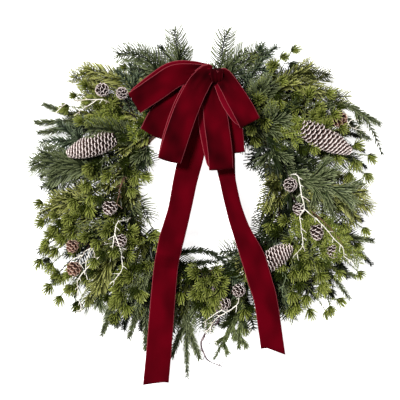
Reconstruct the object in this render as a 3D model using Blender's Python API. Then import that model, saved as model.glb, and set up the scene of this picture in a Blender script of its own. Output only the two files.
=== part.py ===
"""Pine wreath with a velvet bow, lying on its back.

Metres, +Z up. The front faces +Z and the wreath's top points along +Y. A ring of
bound vine carries needle sprays, cones, frosted twigs and a bow of crimson ribbon.
Places in the tables are in millimetres from the ring's axis, across, up and high.
"""
import math
from dataclasses import dataclass

import bmesh
import bpy
import numpy as np
from mathutils import Matrix, Vector
from mathutils.bvhtree import BVHTree

MM = 0.001
UP = Vector((0, 0, 1))

# The ring of bound vine
RING_RADIUS = 160 * MM
RING_TUBE = 11 * MM
RING_STEPS = 32
RING_SIDES = 8
SEAT_GAP = 0.35 * MM

# The ribbon, the knot that gathers it and the wire that ties it on
RIBBON_THICKNESS = 0.8 * MM
KNOT_CENTRE = Vector((22, 238, 0)) * MM
KNOT_RADIUS = 10 * MM
KNOT_BOTTOM = 90 * MM
KNOT_TOP = 123 * MM
KNOT_SIDES = 10
LOOP_STEP = 27 * MM
TAIL_STEP = 26 * MM
WIRE_RADIUS = 1.4 * MM

# Clearances that keep one piece off its neighbours
STEM_GAP = 0.6 * MM
NEEDLE_HALF_WIDTH = 1.3 * MM
NEEDLE_EDGE = 0.2 * MM
LOWEST_NEEDLE = 1.5 * MM

# Surfaces: base colour, roughness
VINE = ((0.16, 0.075, 0.045), 0.85)
CONE = ((0.26, 0.15, 0.11), 0.75)
FROST = ((0.62, 0.56, 0.47), 0.8)
VELVET = ((0.17, 0.004, 0.012), 0.9)
WIRE = ((0.12, 0.13, 0.1), 0.5)


@dataclass(frozen=True)
class Species:
    """How one kind of greenery carries its needles, with sizes in millimetres."""

    surface: tuple
    needle: float
    pitch: float
    lean: float
    flat: bool
    stem: float = 1.5
    branch: float = 45.0
    tuft: float = 0.0


FIR = Species(((0.045, 0.085, 0.04), 0.55), 18, 11.5, 0.6, True, branch=48)
OLIVE = Species(((0.14, 0.19, 0.03), 0.55), 17, 11.5, 0.6, True, branch=46)
BLUE = Species(((0.06, 0.13, 0.085), 0.6), 14, 13.0, 0.7, False, branch=40)
ROPE = Species(((0.03, 0.06, 0.03), 0.6), 11, 13.0, 0.9, False, branch=44)
TUFT = Species(((0.15, 0.27, 0.04), 0.5), 10, 16.0, 0.5, True, stem=1.1, tuft=11)
CYPRESS = Species(((0.24, 0.33, 0.07), 0.6), 13, 10.5, 0.9, True, branch=36)
JUNIPER = Species(((0.10, 0.17, 0.07), 0.55), 22, 13.0, 1.3, False, branch=34)


@dataclass(frozen=True)
class Spray:
    """One bunch of greenery: a main shoot tied to the ring and the shoots off it.

    root is the ring angle in degrees and seat the angle round the vine, 0 outwards
    and 90 on top. tip and each fork's tip are (across, up, high). bend bows the
    main shoot to its left. forks are (share along the main shoot, tip).
    """

    name: str
    kind: Species
    root: float
    tip: tuple
    seat: float = 25.0
    bend: float = 0.0
    forks: tuple = ()
    pairs: int = 1


@dataclass(frozen=True)
class Ribbon:
    """One loop or tail: plan points after the knot, widths, and heights."""

    name: str
    points: tuple
    widths: tuple
    knot_height: float
    back: float = 0.0
    front: float = 0.0
    shift: float = 0.0
    heights: tuple = ()


LOOPS = (
    Ribbon("bow_loop_right_rear", ((30, 206), (38, 176), (47, 136), (52, 83)),
           (18, 34, 46, 50, 50), 98.0, 97, 104, 4),
    Ribbon("bow_loop_left_rear", ((-4, 224), (-36, 204), (-68, 180), (-92, 150), (-108, 118)),
           (18, 26, 38, 46, 50, 50), 101.4, 101, 109, -4),
    Ribbon("bow_loop_centre", ((15, 212), (12, 190), (20, 144), (29, 92), (33, 50)),
           (18, 30, 40, 48, 48, 46), 105.6, 115, 126, 8),
    Ribbon("bow_loop_upper_left", ((-10, 244), (-40, 247), (-68, 238), (-95, 217), (-143, 180)),
           (18, 24, 32, 40, 45, 45), 108.8, 116, 128, 7),
    Ribbon("bow_loop_right", ((35, 229), (48, 212), (61, 190), (76, 164), (88, 141)),
           (18, 24, 33, 40, 44, 44), 112.0, 130, 142, 8),
    Ribbon("bow_loop_left", ((6, 232), (-14, 214), (-38, 170), (-58, 114), (-73, 67)),
           (18, 26, 40, 46, 48, 47), 115.4, 133, 146, 4),
)
TAILS = (
    Ribbon("ribbon_tail_left",
           ((10, 196), (-6, 150), (-20, 108), (-31, 68), (-41, 28), (-53, -32), (-68, -88),
            (-79, -136), (-86, -210), (-93, -302), (-100, -378)),
           (18, 30, 42, 48, 50, 48, 46, 50, 48, 49, 50, 51), 92.0,
           heights=(92, 92, 91, 90, 86, 80, 76, 80, 88, 90, 80, 56)),
    Ribbon("ribbon_tail_right",
           ((27, 196), (30, 150), (34, 108), (38, 68), (43, 28), (55, -26), (70, -72),
            (93, -126), (107, -172), (119, -214), (133, -310)),
           (18, 30, 42, 44, 40, 32, 32, 36, 48, 48, 46, 47), 95.0,
           heights=(95, 95, 94, 92, 88, 82, 78, 82, 90, 92, 88, 70)),
)

SPRAYS = (
    Spray("fir_top", FIR, 107, (-66, 330, 34),
          forks=((0.42, (-104, 284, 30)), (0.55, (-30, 298, 40)))),
    Spray("fir_top_left", FIR, 123, (-190, 280, 30), bend=-42,
          forks=((0.5, (-122, 312, 36)), (0.3, (-168, 236, 46)))),
    Spray("olive_left_top", OLIVE, 139, (-272, 236, 32),
          forks=((0.45, (-224, 262, 36)), (0.5, (-258, 192, 30))), pairs=0),
    Spray("rope_left_top", ROPE, 148, (-322, 180, 26), bend=8,
          forks=((0.45, (-337, 142, 24)), (0.4, (-300, 196, 30))), pairs=0),
    Spray("blue_left", BLUE, 158, (-325, 104, 48), seat=45,
          forks=((0.5, (-292, 140, 52)),)),
    Spray("fir_left", FIR, 170, (-356, 50, 24),
          forks=((0.5, (-344, 78, 28)), (0.42, (-322, 12, 24)))),
    Spray("olive_left", OLIVE, 184, (-340, -46, 44), seat=45,
          forks=((0.45, (-312, -8, 48)), (0.5, (-304, -76, 40)))),
    Spray("tuft_left", TUFT, 195, (-332, -134, 40),
          forks=((0.78, (-316, -108, 48)), (0.6, (-308, -80, 52)), (0.42, (-275, -50, 56)))),
    Spray("tuft_left_low", TUFT, 206, (-292, -208, 34),
          forks=((0.7, (-312, -184, 38)), (0.55, (-270, -186, 50)), (0.8, (-258, -222, 40)))),
    Spray("juniper_left_low", JUNIPER, 216, (-236, -222, 26),
          forks=((0.45, (-214, -216, 34)),)),
    Spray("rope_left_bottom", ROPE, 226, (-204, -274, 26),
          forks=((0.5, (-178, -262, 32)),)),
    Spray("rope_bottom_left", ROPE, 238, (-150, -280, 44), seat=45,
          forks=((0.35, (-121, -308, 40)),)),
    Spray("tuft_bottom_left", TUFT, 231, (-181, -246, 72), seat=80,
          forks=((0.55, (-196, -204, 76)), (0.75, (-160, -226, 78)))),
    Spray("rope_bottom", ROPE, 258, (-38, -362, 30),
          forks=((0.45, (-68, -322, 34)), (0.5, (-14, -326, 36))), pairs=0),
    Spray("cypress_bottom", CYPRESS, 284, (18, -326, 40), bend=-16,
          forks=((0.4, (66, -304, 36)), (0.5, (40, -288, 48))), pairs=0),
    Spray("cypress_bottom_right", CYPRESS, 303, (172, -248, 30),
          forks=((0.45, (118, -268, 34)), (0.5, (200, -214, 36)))),
    Spray("tuft_right_low", TUFT, 317, (240, -236, 44), seat=50,
          forks=((0.4, (190, -156, 58)), (0.6, (180, -222, 52)), (0.6, (232, -182, 60)),
                 (0.8, (266, -212, 50)))),
    Spray("rope_right_drop", ROPE, 330, (284, -206, 26),
          forks=((0.5, (296, -164, 24)),)),
    Spray("rope_right_low", ROPE, 342, (328, -138, 34),
          forks=((0.5, (330, -92, 30)),)),
    Spray("tuft_right", TUFT, 351, (316, -71, 58), seat=50,
          forks=((0.5, (262, -22, 64)), (0.6, (272, -84, 66)))),
    Spray("olive_right", OLIVE, 1, (332, -36, 26),
          forks=((0.45, (322, 2, 28)), (0.5, (300, -62, 30)))),
    Spray("tuft_right_top", TUFT, 16, (327, 75, 48), seat=45,
          forks=((0.7, (300, 98, 54)), (0.6, (321, 37, 44)), (0.4, (260, 100, 62)))),
    Spray("blue_right", BLUE, 30, (343, 145, 34), bend=14,
          forks=((0.6, (348, 88, 28)), (0.5, (306, 174, 38))), pairs=0),
    Spray("olive_right_top", OLIVE, 43, (252, 234, 30), bend=26,
          forks=((0.5, (288, 194, 30)), (0.5, (206, 262, 34))), pairs=0),
    Spray("tuft_top_right", TUFT, 54, (174, 288, 44), seat=50,
          forks=((0.45, (111, 197, 62)), (0.4, (177, 197, 66)), (0.7, (134, 258, 56)),
                 (0.75, (206, 236, 52)))),
    Spray("blue_top_right", BLUE, 64, (142, 292, 34), bend=10,
          forks=((0.45, (110, 300, 30)),)),
    Spray("fir_top_right", FIR, 76, (44, 328, 30),
          forks=((0.42, (14, 292, 26)), (0.5, (82, 296, 36)))),
    Spray("fir_inner_right", FIR, 38, (90, 62, 22), seat=150,
          forks=((0.35, (122, 40, 24)),)),
    Spray("olive_inner_right", OLIVE, 357, (106, -70, 24), seat=150, bend=-18, pairs=0),
    Spray("rope_inner_bottom", ROPE, 240, (38, -138, 50), seat=120, bend=26, pairs=0),
    Spray("fir_inner_left", FIR, 152, (-104, 54, 26), seat=150),
    Spray("cypress_crown_left", CYPRESS, 146, (-226, 146, 74), seat=75,
          forks=((0.5, (-196, 176, 72)),)),
    Spray("juniper_crown_right", JUNIPER, 13, (250, -36, 84), seat=75, bend=22,
          forks=((0.5, (236, 60, 74)),)),
    Spray("cypress_crown_right", CYPRESS, 346, (302, -134, 68), seat=75, bend=14,
          forks=((0.5, (246, -134, 78)),)),
)


@dataclass(frozen=True)
class Bough:
    """A bare twig or stalk: a path from the ring, its forks, and the cones it carries.

    forks are (index on the path, points). cones are (line, base, tip, radius), where
    line is the path's or a fork's number, whose end the cone sits on.
    """

    name: str
    surface: tuple
    root: float
    seat: float
    path: tuple
    radius: float
    forks: tuple = ()
    cones: tuple = ()
    rows: int = 6
    columns: int = 8


BOUGHS = (
    Bough("large_cone_left", CONE, 149, 60,
          ((-160, 100, 50), (-178, 112, 76)), 1.6,
          cones=((0, (-180, 113, 77), (-280, 78, 74), 23),), rows=11, columns=10),
    Bough("large_cone_right", CONE, 34, 60,
          ((160, 112, 50), (184, 132, 78)), 1.6,
          cones=((0, (188, 135, 79), (292, 82, 74), 24),), rows=11, columns=10),
    Bough("large_cone_low", CONE, 307, 75,
          ((104, -146, 46), (108, -148, 60)), 1.6,
          cones=((0, (110, -147, 62), (172, -102, 72), 22),), rows=9, columns=10),
    Bough("small_cones_top_left", CONE, 135, 60,
          ((-140, 152, 52), (-163, 190, 80)), 1.3,
          forks=((0, ((-176, 180, 66), (-198, 204, 78))),),
          cones=((0, (-165, 194, 82), (-170, 208, 102), 11), (1, (-201, 206, 79), (-216, 213, 98), 13))),
    Bough("small_cones_left", CONE, 193, 55,
          ((-172, -50, 50), (-190, -38, 76)), 1.3,
          forks=((0, ((-176, -74, 66), (-172, -88, 78))),),
          cones=((0, (-191, -34, 78), (-192, -20, 100), 14), (1, (-172, -90, 80), (-169, -98, 100), 12))),
    Bough("small_cones_far_left", CONE, 203, 60,
          ((-182, -86, 54), (-230, -100, 74), (-258, -104, 78)), 1.3,
          forks=((1, ((-246, -122, 76), (-258, -140, 78))),),
          cones=((0, (-260, -104, 79), (-274, -104, 96), 12), (1, (-260, -143, 79), (-266, -156, 98), 14))),
    Bough("small_cone_right_top", CONE, 24, 60,
          ((176, 86, 36), (230, 124, 42), (254, 141, 62)), 1.3,
          cones=((0, (259, 143, 74), (274, 153, 94), 16),)),
    Bough("small_cones_right_inner", CONE, 6, 80,
          ((160, 14, 48), (164, 14, 74)), 1.3,
          forks=((0, ((172, -6, 66), (180, -18, 78))),),
          cones=((0, (165, 15, 77), (171, 20, 101), 13), (1, (181, -21, 80), (187, -40, 92), 10))),
    Bough("small_cones_right", CONE, 339, 60,
          ((182, -72, 54), (214, -70, 74)), 1.3,
          forks=((0, ((226, -98, 72), (246, -106, 80))),),
          cones=((0, (216, -71, 76), (228, -84, 94), 11), (1, (248, -107, 82), (258, -124, 92), 9))),
    Bough("small_cones_bottom", CONE, 287, 75,
          ((56, -170, 50), (62, -184, 76)), 1.3,
          forks=((0, ((42, -196, 66), (37, -210, 76))),),
          cones=((0, (63, -187, 78), (69, -199, 100), 15), (1, (36, -213, 78), (33, -226, 96), 12))),
    Bough("frosted_twig_top_left", FROST, 142, 75,
          ((-138, 130, 56), (-160, 150, 90), (-212, 190, 104), (-234, 176, 102), (-262, 156, 96)), 1.5,
          forks=((2, ((-248, 187, 104), (-280, 178, 98), (-306, 157, 90), (-321, 155, 86))),)),
    Bough("frosted_twig_left", FROST, 197, 75,
          ((-156, -52, 62), (-176, -56, 96), (-182, -78, 100), (-186, -108, 98), (-191, -134, 92)), 1.5,
          forks=((2, ((-172, -106, 102), (-168, -124, 98), (-167, -148, 94), (-176, -164, 92),
                      (-192, -180, 88))),)),
    Bough("frosted_twig_far_left", FROST, 211, 70,
          ((-160, -108, 64), (-210, -124, 84), (-252, -166, 96), (-255, -190, 94), (-255, -206, 92),
           (-249, -220, 88), (-252, -232, 84), (-260, -244, 80), (-258, -258, 76)), 1.4,
          forks=((5, ((-248, -230, 88), (-242, -242, 90))),)),
    Bough("frosted_twig_right", FROST, 12, 95,
          ((152, 36, 66), (184, 34, 98), (190, -4, 104), (196, -30, 104), (187, -42, 102),
           (189, -68, 98), (193, -96, 94), (190, -108, 92), (181, -118, 90), (184, -132, 86)), 1.5,
          forks=((3, ((212, -44, 104), (226, -56, 100), (243, -75, 98), (257, -92, 102),
                      (272, -106, 100), (275, -124, 94), (286, -131, 92), (294, -138, 90))),
                 (2, ((200, -10, 108), (206, -16, 112))))),
    Bough("frosted_twig_bottom", FROST, 278, 75,
          ((18, -168, 60), (14, -206, 84), (25, -249, 82), (10, -264, 80), (-2, -278, 76),
           (2, -292, 74), (16, -304, 70)), 1.4,
          forks=((4, ((-10, -300, 74), (-2, -322, 70), (8, -334, 66), (30, -343, 60), (34, -350, 56))),)),
)


def clear_scene():
    """Remove whatever the file opened with."""
    for thing in list(bpy.data.objects):
        bpy.data.objects.remove(thing, do_unlink=True)


def give_surface(thing, surface):
    """Give an object a material of its own from (colour, roughness)."""
    colour, roughness = surface
    material = bpy.data.materials.new(thing.name)
    material.use_nodes = True
    shader = material.node_tree.nodes["Principled BSDF"]
    shader.inputs["Base Color"].default_value = (*colour, 1)
    shader.inputs["Roughness"].default_value = roughness
    shader.inputs["Metallic"].default_value = 0.0
    thing.data.materials.clear()
    thing.data.materials.append(material)
    material.diffuse_color = (*colour, 1)


def new_object(name, bm):
    """Turn a bmesh into a linked object and free it."""
    bmesh.ops.recalc_face_normals(bm, faces=bm.faces)
    mesh = bpy.data.meshes.new(name)
    bm.to_mesh(mesh)
    bm.free()
    thing = bpy.data.objects.new(name, mesh)
    bpy.context.collection.objects.link(thing)
    return thing


def world_tree(thing):
    """A search tree over an object's evaluated mesh."""
    graph = bpy.context.evaluated_depsgraph_get()
    return BVHTree.FromObject(thing, graph)


def is_closed(mesh):
    """Whether a mesh has faces and every edge of it has two."""
    bm = bmesh.new()
    bm.from_mesh(mesh)
    closed = len(bm.faces) > 3 and all(edge.is_manifold for edge in bm.edges)
    bm.free()
    return closed


def drop_scraps(mesh):
    """Keep only the largest of a mesh's loose bodies."""
    bm = bmesh.new()
    bm.from_mesh(mesh)
    left = set(bm.verts)
    bodies = []
    while left:
        body = set()
        edge_of_search = [left.pop()]
        while edge_of_search:
            vert = edge_of_search.pop()
            body.add(vert)
            for edge in vert.link_edges:
                other = edge.other_vert(vert)
                if other in left:
                    left.remove(other)
                    edge_of_search.append(other)
        bodies.append(body)
    for body in sorted(bodies, key=len)[:-1]:
        bmesh.ops.delete(bm, geom=list(body), context="VERTS")
    bm.to_mesh(mesh)
    bm.free()


def join_pieces(pieces, name):
    """Join closed pieces into one body with a single Boolean union."""
    base = pieces[0]
    base.name = name
    base.data.name = name
    if len(pieces) == 1:
        return base
    group = bpy.data.collections.new(name + "_pieces")
    for piece in pieces[1:]:
        group.objects.link(piece)
    union = base.modifiers.new("join", "BOOLEAN")
    union.operation = "UNION"
    union.operand_type = "COLLECTION"
    union.collection = group
    for solver in ("EXACT", "MANIFOLD"):
        union.solver = solver
        graph = bpy.context.evaluated_depsgraph_get()
        joined = bpy.data.meshes.new_from_object(base.evaluated_get(graph))
        if is_closed(joined):
            break
    base.modifiers.clear()
    base.data = joined
    for piece in pieces[1:]:
        bpy.data.objects.remove(piece, do_unlink=True)
    bpy.data.collections.remove(group)
    drop_scraps(joined)
    joined.name = name
    return base


def smooth_path(points, step):
    """Points about one step apart on a smooth curve through the given points."""
    ends = [points[0] * 2 - points[1], *points, points[-1] * 2 - points[-2]]
    path = [points[0]]
    for before, start, end, after in zip(ends, ends[1:], ends[2:], ends[3:]):
        parts = max(1, round((end - start).length / step))
        for part in range(1, parts + 1):
            t = part / parts
            path.append(0.5 * (2 * start + (end - before) * t
                               + (2 * before - 5 * start + 4 * end - after) * t ** 2
                               + (3 * start - before - 3 * end + after) * t ** 3))
    return path


def bezier(start, first, second, end, count):
    """Points along one cubic curve."""
    points = []
    for index in range(count + 1):
        t = index / count
        points.append((1 - t) ** 3 * start + 3 * t * (1 - t) ** 2 * first
                      + 3 * t ** 2 * (1 - t) * second + t ** 3 * end)
    return points


def frames_along(path, side):
    """(place, forward, side, up) at each point of a path, kept level by one side vector."""
    frames = []
    for index, place in enumerate(path):
        before = path[max(index - 1, 0)]
        after = path[min(index + 1, len(path) - 1)]
        forward = (after - before).normalized()
        across = (side - forward * side.dot(forward)).normalized()
        frames.append((place, forward, across, across.cross(forward)))
    return frames


def level_side(path):
    """The level direction to the right of a path's run."""
    run = path[-1] - path[0]
    run.z = 0
    if run.length < 1 * MM:
        return Vector((1, 0, 0))
    return run.cross(UP).normalized()


def tube(frames, radii, sides):
    """A closed tube through frames, and a layer with each wall's segment number."""
    bm = bmesh.new()
    segment = bm.faces.layers.int.new("segment")
    bmesh.ops.create_cone(bm, cap_ends=True, cap_tris=False, segments=sides,
                          radius1=1, radius2=1, depth=2)
    turn = Matrix.Rotation(-math.pi / 2, 3, "Z")
    spots = {vert: turn @ vert.co for vert in bm.verts}
    for vert, spot in spots.items():
        number = 0 if spot.z < 0 else 1
        place, _, across, up = frames[number]
        vert.co = place + radii[number] * (up * spot.x + across * spot.y)
    forward = (frames[1][0] - frames[0][0]).normalized()
    bm.normal_update()
    for face in bm.faces:
        face[segment] = -1 if abs(face.normal.dot(forward)) > 0.8 else 0
    cap = max(bm.faces, key=lambda face: face.normal.dot(forward))
    for number in range(2, len(frames)):
        old = {tuple(vert.co): spots[vert] for vert in cap.verts}
        made = bmesh.ops.extrude_discrete_faces(bm, faces=[cap])
        cap = made["faces"][0]
        place, _, across, up = frames[number]
        for edge in cap.edges:
            for wall in edge.link_faces:
                if wall is not cap:
                    wall[segment] = number - 1
        for vert in cap.verts:
            spots[vert] = old[tuple(vert.co)]
        for vert in cap.verts:
            spot = spots[vert]
            vert.co = place + radii[number] * (up * spot.x + across * spot.y)
        cap[segment] = -1
    return bm, segment


class Space:
    """The room that stems and needles already take, as thin rods, and the solid pieces."""

    def __init__(self, limit=20000):
        self.starts = np.zeros((limit, 3))
        self.ends = np.zeros((limit, 3))
        self.radii = np.zeros(limit)
        self.owners = np.zeros(limit, dtype=int)
        self.count = 0
        self.trees = []

    def add(self, start, end, radius, owner):
        """Take the room of one rod."""
        self.starts[self.count] = start
        self.ends[self.count] = end
        self.radii[self.count] = radius
        self.owners[self.count] = owner
        self.count += 1

    def add_path(self, path, radii, owner):
        """Take the room of a stem."""
        for start, end, radius in zip(path, path[1:], radii):
            self.add(start, end, radius, owner)

    def rods_clear(self, start, end, radius, skipped):
        """Whether a rod keeps its gap to every rod whose owner isn't skipped."""
        if not self.count:
            return True
        start, end = np.array(start), np.array(end)
        starts, ends = self.starts[:self.count], self.ends[:self.count]
        reach = (np.linalg.norm(ends - starts, axis=1) + np.linalg.norm(end - start)) / 2
        apart = np.linalg.norm((starts + ends) / 2 - (start + end) / 2, axis=1)
        near = apart < reach + self.radii[:self.count] + radius + STEM_GAP
        near &= ~np.isin(self.owners[:self.count], skipped)
        if not near.any():
            return True
        distance = rod_distance(start, end, starts[near], ends[near])
        return bool((distance > self.radii[:self.count][near] + radius + STEM_GAP).all())

    def solids_clear(self, start, end, radius):
        """Whether a rod misses every solid piece."""
        run = end - start
        for tree in self.trees:
            if tree.ray_cast(start, run.normalized(), run.length + radius)[0] is not None:
                return False
            for share in (0.0, 0.25, 0.5, 0.75, 1.0):
                spot = start + run * share
                found = tree.find_nearest(spot, radius + STEM_GAP)
                if found[0] is not None:
                    return False
        return True

    def clear(self, start, end, radius, skipped):
        """Whether a rod is free of everything but what is skipped."""
        return self.rods_clear(start, end, radius, skipped) and self.solids_clear(start, end, radius)


def rod_distance(start, end, starts, ends):
    """Least distance from one segment to each of many."""
    u = end - start
    v = ends - starts
    w = start - starts
    uu = max(float(u @ u), 1e-12)
    vv = np.maximum((v * v).sum(axis=1), 1e-12)
    uv = v @ u
    uw = w @ u
    vw = (v * w).sum(axis=1)
    det = uu * vv - uv ** 2
    s = np.clip(np.where(det > 1e-12, (uv * vw - vv * uw) / np.maximum(det, 1e-12), 0), 0, 1)
    t = np.clip((uv * s + vw) / vv, 0, 1)
    s = np.clip((uv * t - uw) / uu, 0, 1)
    gap = w + s[:, None] * u - t[:, None] * v
    return np.linalg.norm(gap, axis=1)


def make_ring():
    """The vine ring: an eight-sided section spun round, flat underneath."""
    bm = bmesh.new()
    flat = RING_TUBE * math.cos(math.pi / RING_SIDES)
    bmesh.ops.create_circle(bm, cap_ends=False, segments=RING_SIDES, radius=RING_TUBE)
    stand = Matrix.Rotation(math.pi / 2, 4, "X") @ Matrix.Rotation(math.pi / RING_SIDES, 4, "Z")
    bmesh.ops.transform(bm, matrix=Matrix.Translation((RING_RADIUS, 0, flat)) @ stand, verts=bm.verts)
    bmesh.ops.spin(bm, geom=bm.verts[:] + bm.edges[:], cent=(0, 0, 0), axis=UP,
                   angle=math.tau, steps=RING_STEPS, use_merge=True)
    return new_object("vine_ring", bm)


def ring_seat(tree, angle, seat):
    """A point just off the vine and the direction out of it."""
    turn = math.radians(angle)
    outward = Vector((math.cos(turn), math.sin(turn), 0))
    middle = outward * RING_RADIUS + UP * RING_TUBE * math.cos(math.pi / RING_SIDES)
    away = outward * math.cos(math.radians(seat)) + UP * math.sin(math.radians(seat))
    hit, facing, _, _ = tree.ray_cast(middle + away * 3 * RING_TUBE, -away)
    return hit + facing * SEAT_GAP, facing


def make_knot():
    """The gathered knot: a barrel with rounded ends."""
    bm = bmesh.new()
    depth = KNOT_TOP - KNOT_BOTTOM
    bmesh.ops.create_cone(bm, cap_ends=True, segments=KNOT_SIDES, radius1=KNOT_RADIUS,
                          radius2=KNOT_RADIUS, depth=depth)
    middle = KNOT_CENTRE + UP * (KNOT_BOTTOM + depth / 2)
    bmesh.ops.translate(bm, vec=middle, verts=bm.verts)
    rims = [edge for edge in bm.edges if abs(edge.verts[0].co.z - edge.verts[1].co.z) < MM / 10]
    bmesh.ops.bevel(bm, geom=rims, offset=2.5 * MM, segments=1, affect="EDGES",
                    profile=0.5, material=-1)
    return new_object("bow_knot", bm)


def make_wire(tree):
    """The florist's wire from the ring up to the knot."""
    start, away = ring_seat(tree, 87, 60)
    end = KNOT_CENTRE + UP * (KNOT_BOTTOM - SEAT_GAP)
    path = bezier(start, start + away * 30 * MM, end - UP * 40 * MM, end, 10)
    bm, _ = tube(frames_along(path, Vector((1, 0, 0))), [WIRE_RADIUS] * len(path), 4)
    return new_object("bow_tie_wire", bm), path


def ease(share):
    """A soft step from 0 to 1."""
    share = min(max(share, 0), 1)
    return share * share * (3 - 2 * share)


class Course:
    """A ribbon's way over the plan, from the knot's side to its end."""

    def __init__(self, ribbon):
        points = [Vector((*point, 0)) * MM for point in ribbon.points]
        out = (points[0] - KNOT_CENTRE).normalized()
        # The loops start at the barrel's flat sides, clear of its corners
        points.insert(0, KNOT_CENTRE + out * (KNOT_RADIUS + SEAT_GAP))
        self.points = smooth_path(points, 4 * MM)
        steps = [(b - a).length for a, b in zip(self.points, self.points[1:])]
        self.marks = np.concatenate([[0], np.cumsum(steps)])
        self.length = float(self.marks[-1])
        ends = [(point - points[0]).length for point in points]
        self.width_marks = [end / ends[-1] for end in ends]
        self.widths = ribbon.widths

    def at(self, distance):
        """The plan point and the run's direction at a distance along."""
        distance = min(max(distance, 0), self.length)
        low = min(int(np.searchsorted(self.marks, distance, side="right")) - 1, len(self.points) - 2)
        run = self.points[low + 1] - self.points[low]
        rest = (distance - self.marks[low]) / run.length
        ahead = self.points[min(low + 2, len(self.points) - 1)]
        behind = self.points[max(low - 1, 0)]
        return self.points[low] + run * rest, (ahead - behind).normalized()

    def width(self, distance):
        """The ribbon's width seen from the front at a distance along."""
        return float(np.interp(distance / self.length, self.width_marks, self.widths)) * MM

    def station(self, distance, height, shift=0.0):
        """(middle, across, width) of the ribbon at a distance along."""
        place, run = self.at(distance)
        across = run.cross(UP)
        middle = place + across * shift
        middle.z = height
        return middle, across, self.width(distance)


def strip(name, stations):
    """A thin closed strip of ribbon through stations."""
    bm = bmesh.new()
    count = len(stations)
    bmesh.ops.create_grid(bm, x_segments=1, y_segments=count - 1, size=0.5)
    for vert in bm.verts:
        middle, across, width = stations[round((vert.co.y + 0.5) * (count - 1))]
        vert.co = middle + across * width * vert.co.x
    bmesh.ops.triangulate(bm, faces=bm.faces)
    thing = new_object(name, bm)
    thick = thing.modifiers.new("thickness", "SOLIDIFY")
    thick.thickness = RIBBON_THICKNESS
    thick.offset = 0
    return thing


def make_loop(ribbon):
    """One bow loop: out over the front, round the fold and back underneath."""
    course = Course(ribbon)
    rise = 0.45 * course.length
    back_start = ribbon.knot_height * MM
    front_start = back_start + 1.7 * MM
    back, front = ribbon.back * MM, ribbon.front * MM
    fold = (front - back) / 2
    straight = course.length - fold
    count = max(4, round(straight / LOOP_STEP))
    outs = [straight * index / count for index in range(count + 1)]
    stations = [course.station(out, front_start + (front - front_start) * ease(out / rise))
                for out in outs]
    for turn in (45, 90, 135):
        reach = straight + fold * math.sin(math.radians(turn))
        height = (front + back) / 2 + fold * math.cos(math.radians(turn))
        stations.append(course.station(reach, height))
    for out in reversed(outs):
        slide = ribbon.shift * MM * math.sin(math.pi * min(out / straight, 1)) ** 0.5 if out else 0
        stations.append(course.station(out, back_start + (back - back_start) * ease(out / rise), slide))
    return strip(ribbon.name, stations)


def make_tail(ribbon):
    """One hanging tail, laid over the greenery and the hole."""
    course = Course(ribbon)
    count = round(course.length / TAIL_STEP)
    stations = []
    for index in range(count + 1):
        out = course.length * index / count
        height = float(np.interp(out / course.length, course.width_marks, ribbon.heights)) * MM
        stations.append(course.station(out, height))
    return strip(ribbon.name, stations)


def cone_body(base, tip, radius, rows, columns):
    """A closed cone whose scales are raised from its surface in staggered rows."""
    bm = bmesh.new()
    bmesh.ops.create_uvsphere(bm, u_segments=columns, v_segments=rows, radius=1)
    axis = tip - base
    across = axis.cross(Vector((0.3, 0.2, 1))).normalized()
    up = across.cross(axis.normalized())
    for vert in bm.verts:
        row = round(math.acos(max(-1, min(1, -vert.co.z))) / math.pi * rows)
        turn = math.atan2(vert.co.y, vert.co.x)
        column = round(turn / math.tau * columns)
        share = row / rows
        full = math.sin(math.pi * min(max(share, 0), 1) ** 0.8) ** 0.55
        reach = radius * full
        if 0 < row < rows:
            raised = (row + column) % 2
            reach *= 1.0 if raised else 0.76
            share += 0.55 / rows if raised else 0
        vert.co = base + axis * share + (across * math.cos(turn) + up * math.sin(turn)) * reach
    return bm


def bare_tube(path, radius, end_radius, sides=3):
    """A tapering stalk along a path."""
    count = len(path)
    radii = [radius + (end_radius - radius) * index / (count - 1) for index in range(count)]
    bm, _ = tube(frames_along(path, level_side(path)), radii, sides)
    return bm, radii


def make_bough(bough, ring_tree, space, owner):
    """A twig or a stalk with cones, as one body."""
    start, away = ring_seat(ring_tree, bough.root, bough.seat)
    lead = start + away * 5 * MM
    points = [start, lead] + [Vector(point) * MM for point in bough.path]
    step = 18 * MM
    lines = [points]
    for index, fork in bough.forks:
        lines.append([points[index + 2]] + [Vector(point) * MM for point in fork])
    for line, base, tip, _ in bough.cones:
        base, tip = Vector(base) * MM, Vector(tip) * MM
        lines[line][-1] = base + (tip - base) * 0.05
        lines[line].append(base + (tip - base) * 0.3)
    pieces = []
    for number, line in enumerate(lines):
        path = smooth_path(line, step)
        radius = bough.radius * MM * (1 if number == 0 else 0.62)
        bm, radii = bare_tube(path, radius, 0.7 * MM if not bough.cones else radius)
        pieces.append(new_object(bough.name + "_line", bm))
        space.add_path(path, radii, owner)
    for _, base, tip, radius in bough.cones:
        base, tip = Vector(base) * MM, Vector(tip) * MM
        pieces.append(new_object(bough.name + "_cone",
                                 cone_body(base, tip, radius * MM, bough.rows, bough.columns)))
    thing = join_pieces(pieces, bough.name)
    give_surface(thing, bough.surface)
    return thing


@dataclass
class Shoot:
    """One stem of a spray, ready for its needles."""

    path: list
    kind: Species
    owner: int
    parent: int
    bare: float
    tufted: bool = False

    def radii(self):
        """Stem radii, thinner towards the tip and at a sunk root."""
        thick = self.kind.stem * MM * (1.0 if self.parent < 0 else 0.72)
        count = len(self.path)
        radii = [thick + (0.7 * MM - thick) * index / (count - 1) for index in range(count)]
        if self.parent >= 0:
            radii[0] = 0.42 * MM
        return radii


def stem_clear(shoot, space):
    """Whether a stem is free, apart from a main shoot's seat on the vine."""
    steps = list(zip(shoot.path, shoot.path[1:], shoot.radii()))
    if shoot.parent < 0:
        steps = steps[1:]
    skipped = [shoot.owner, shoot.parent]
    return all(space.clear(start, end, radius, skipped) for start, end, radius in steps)


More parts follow.
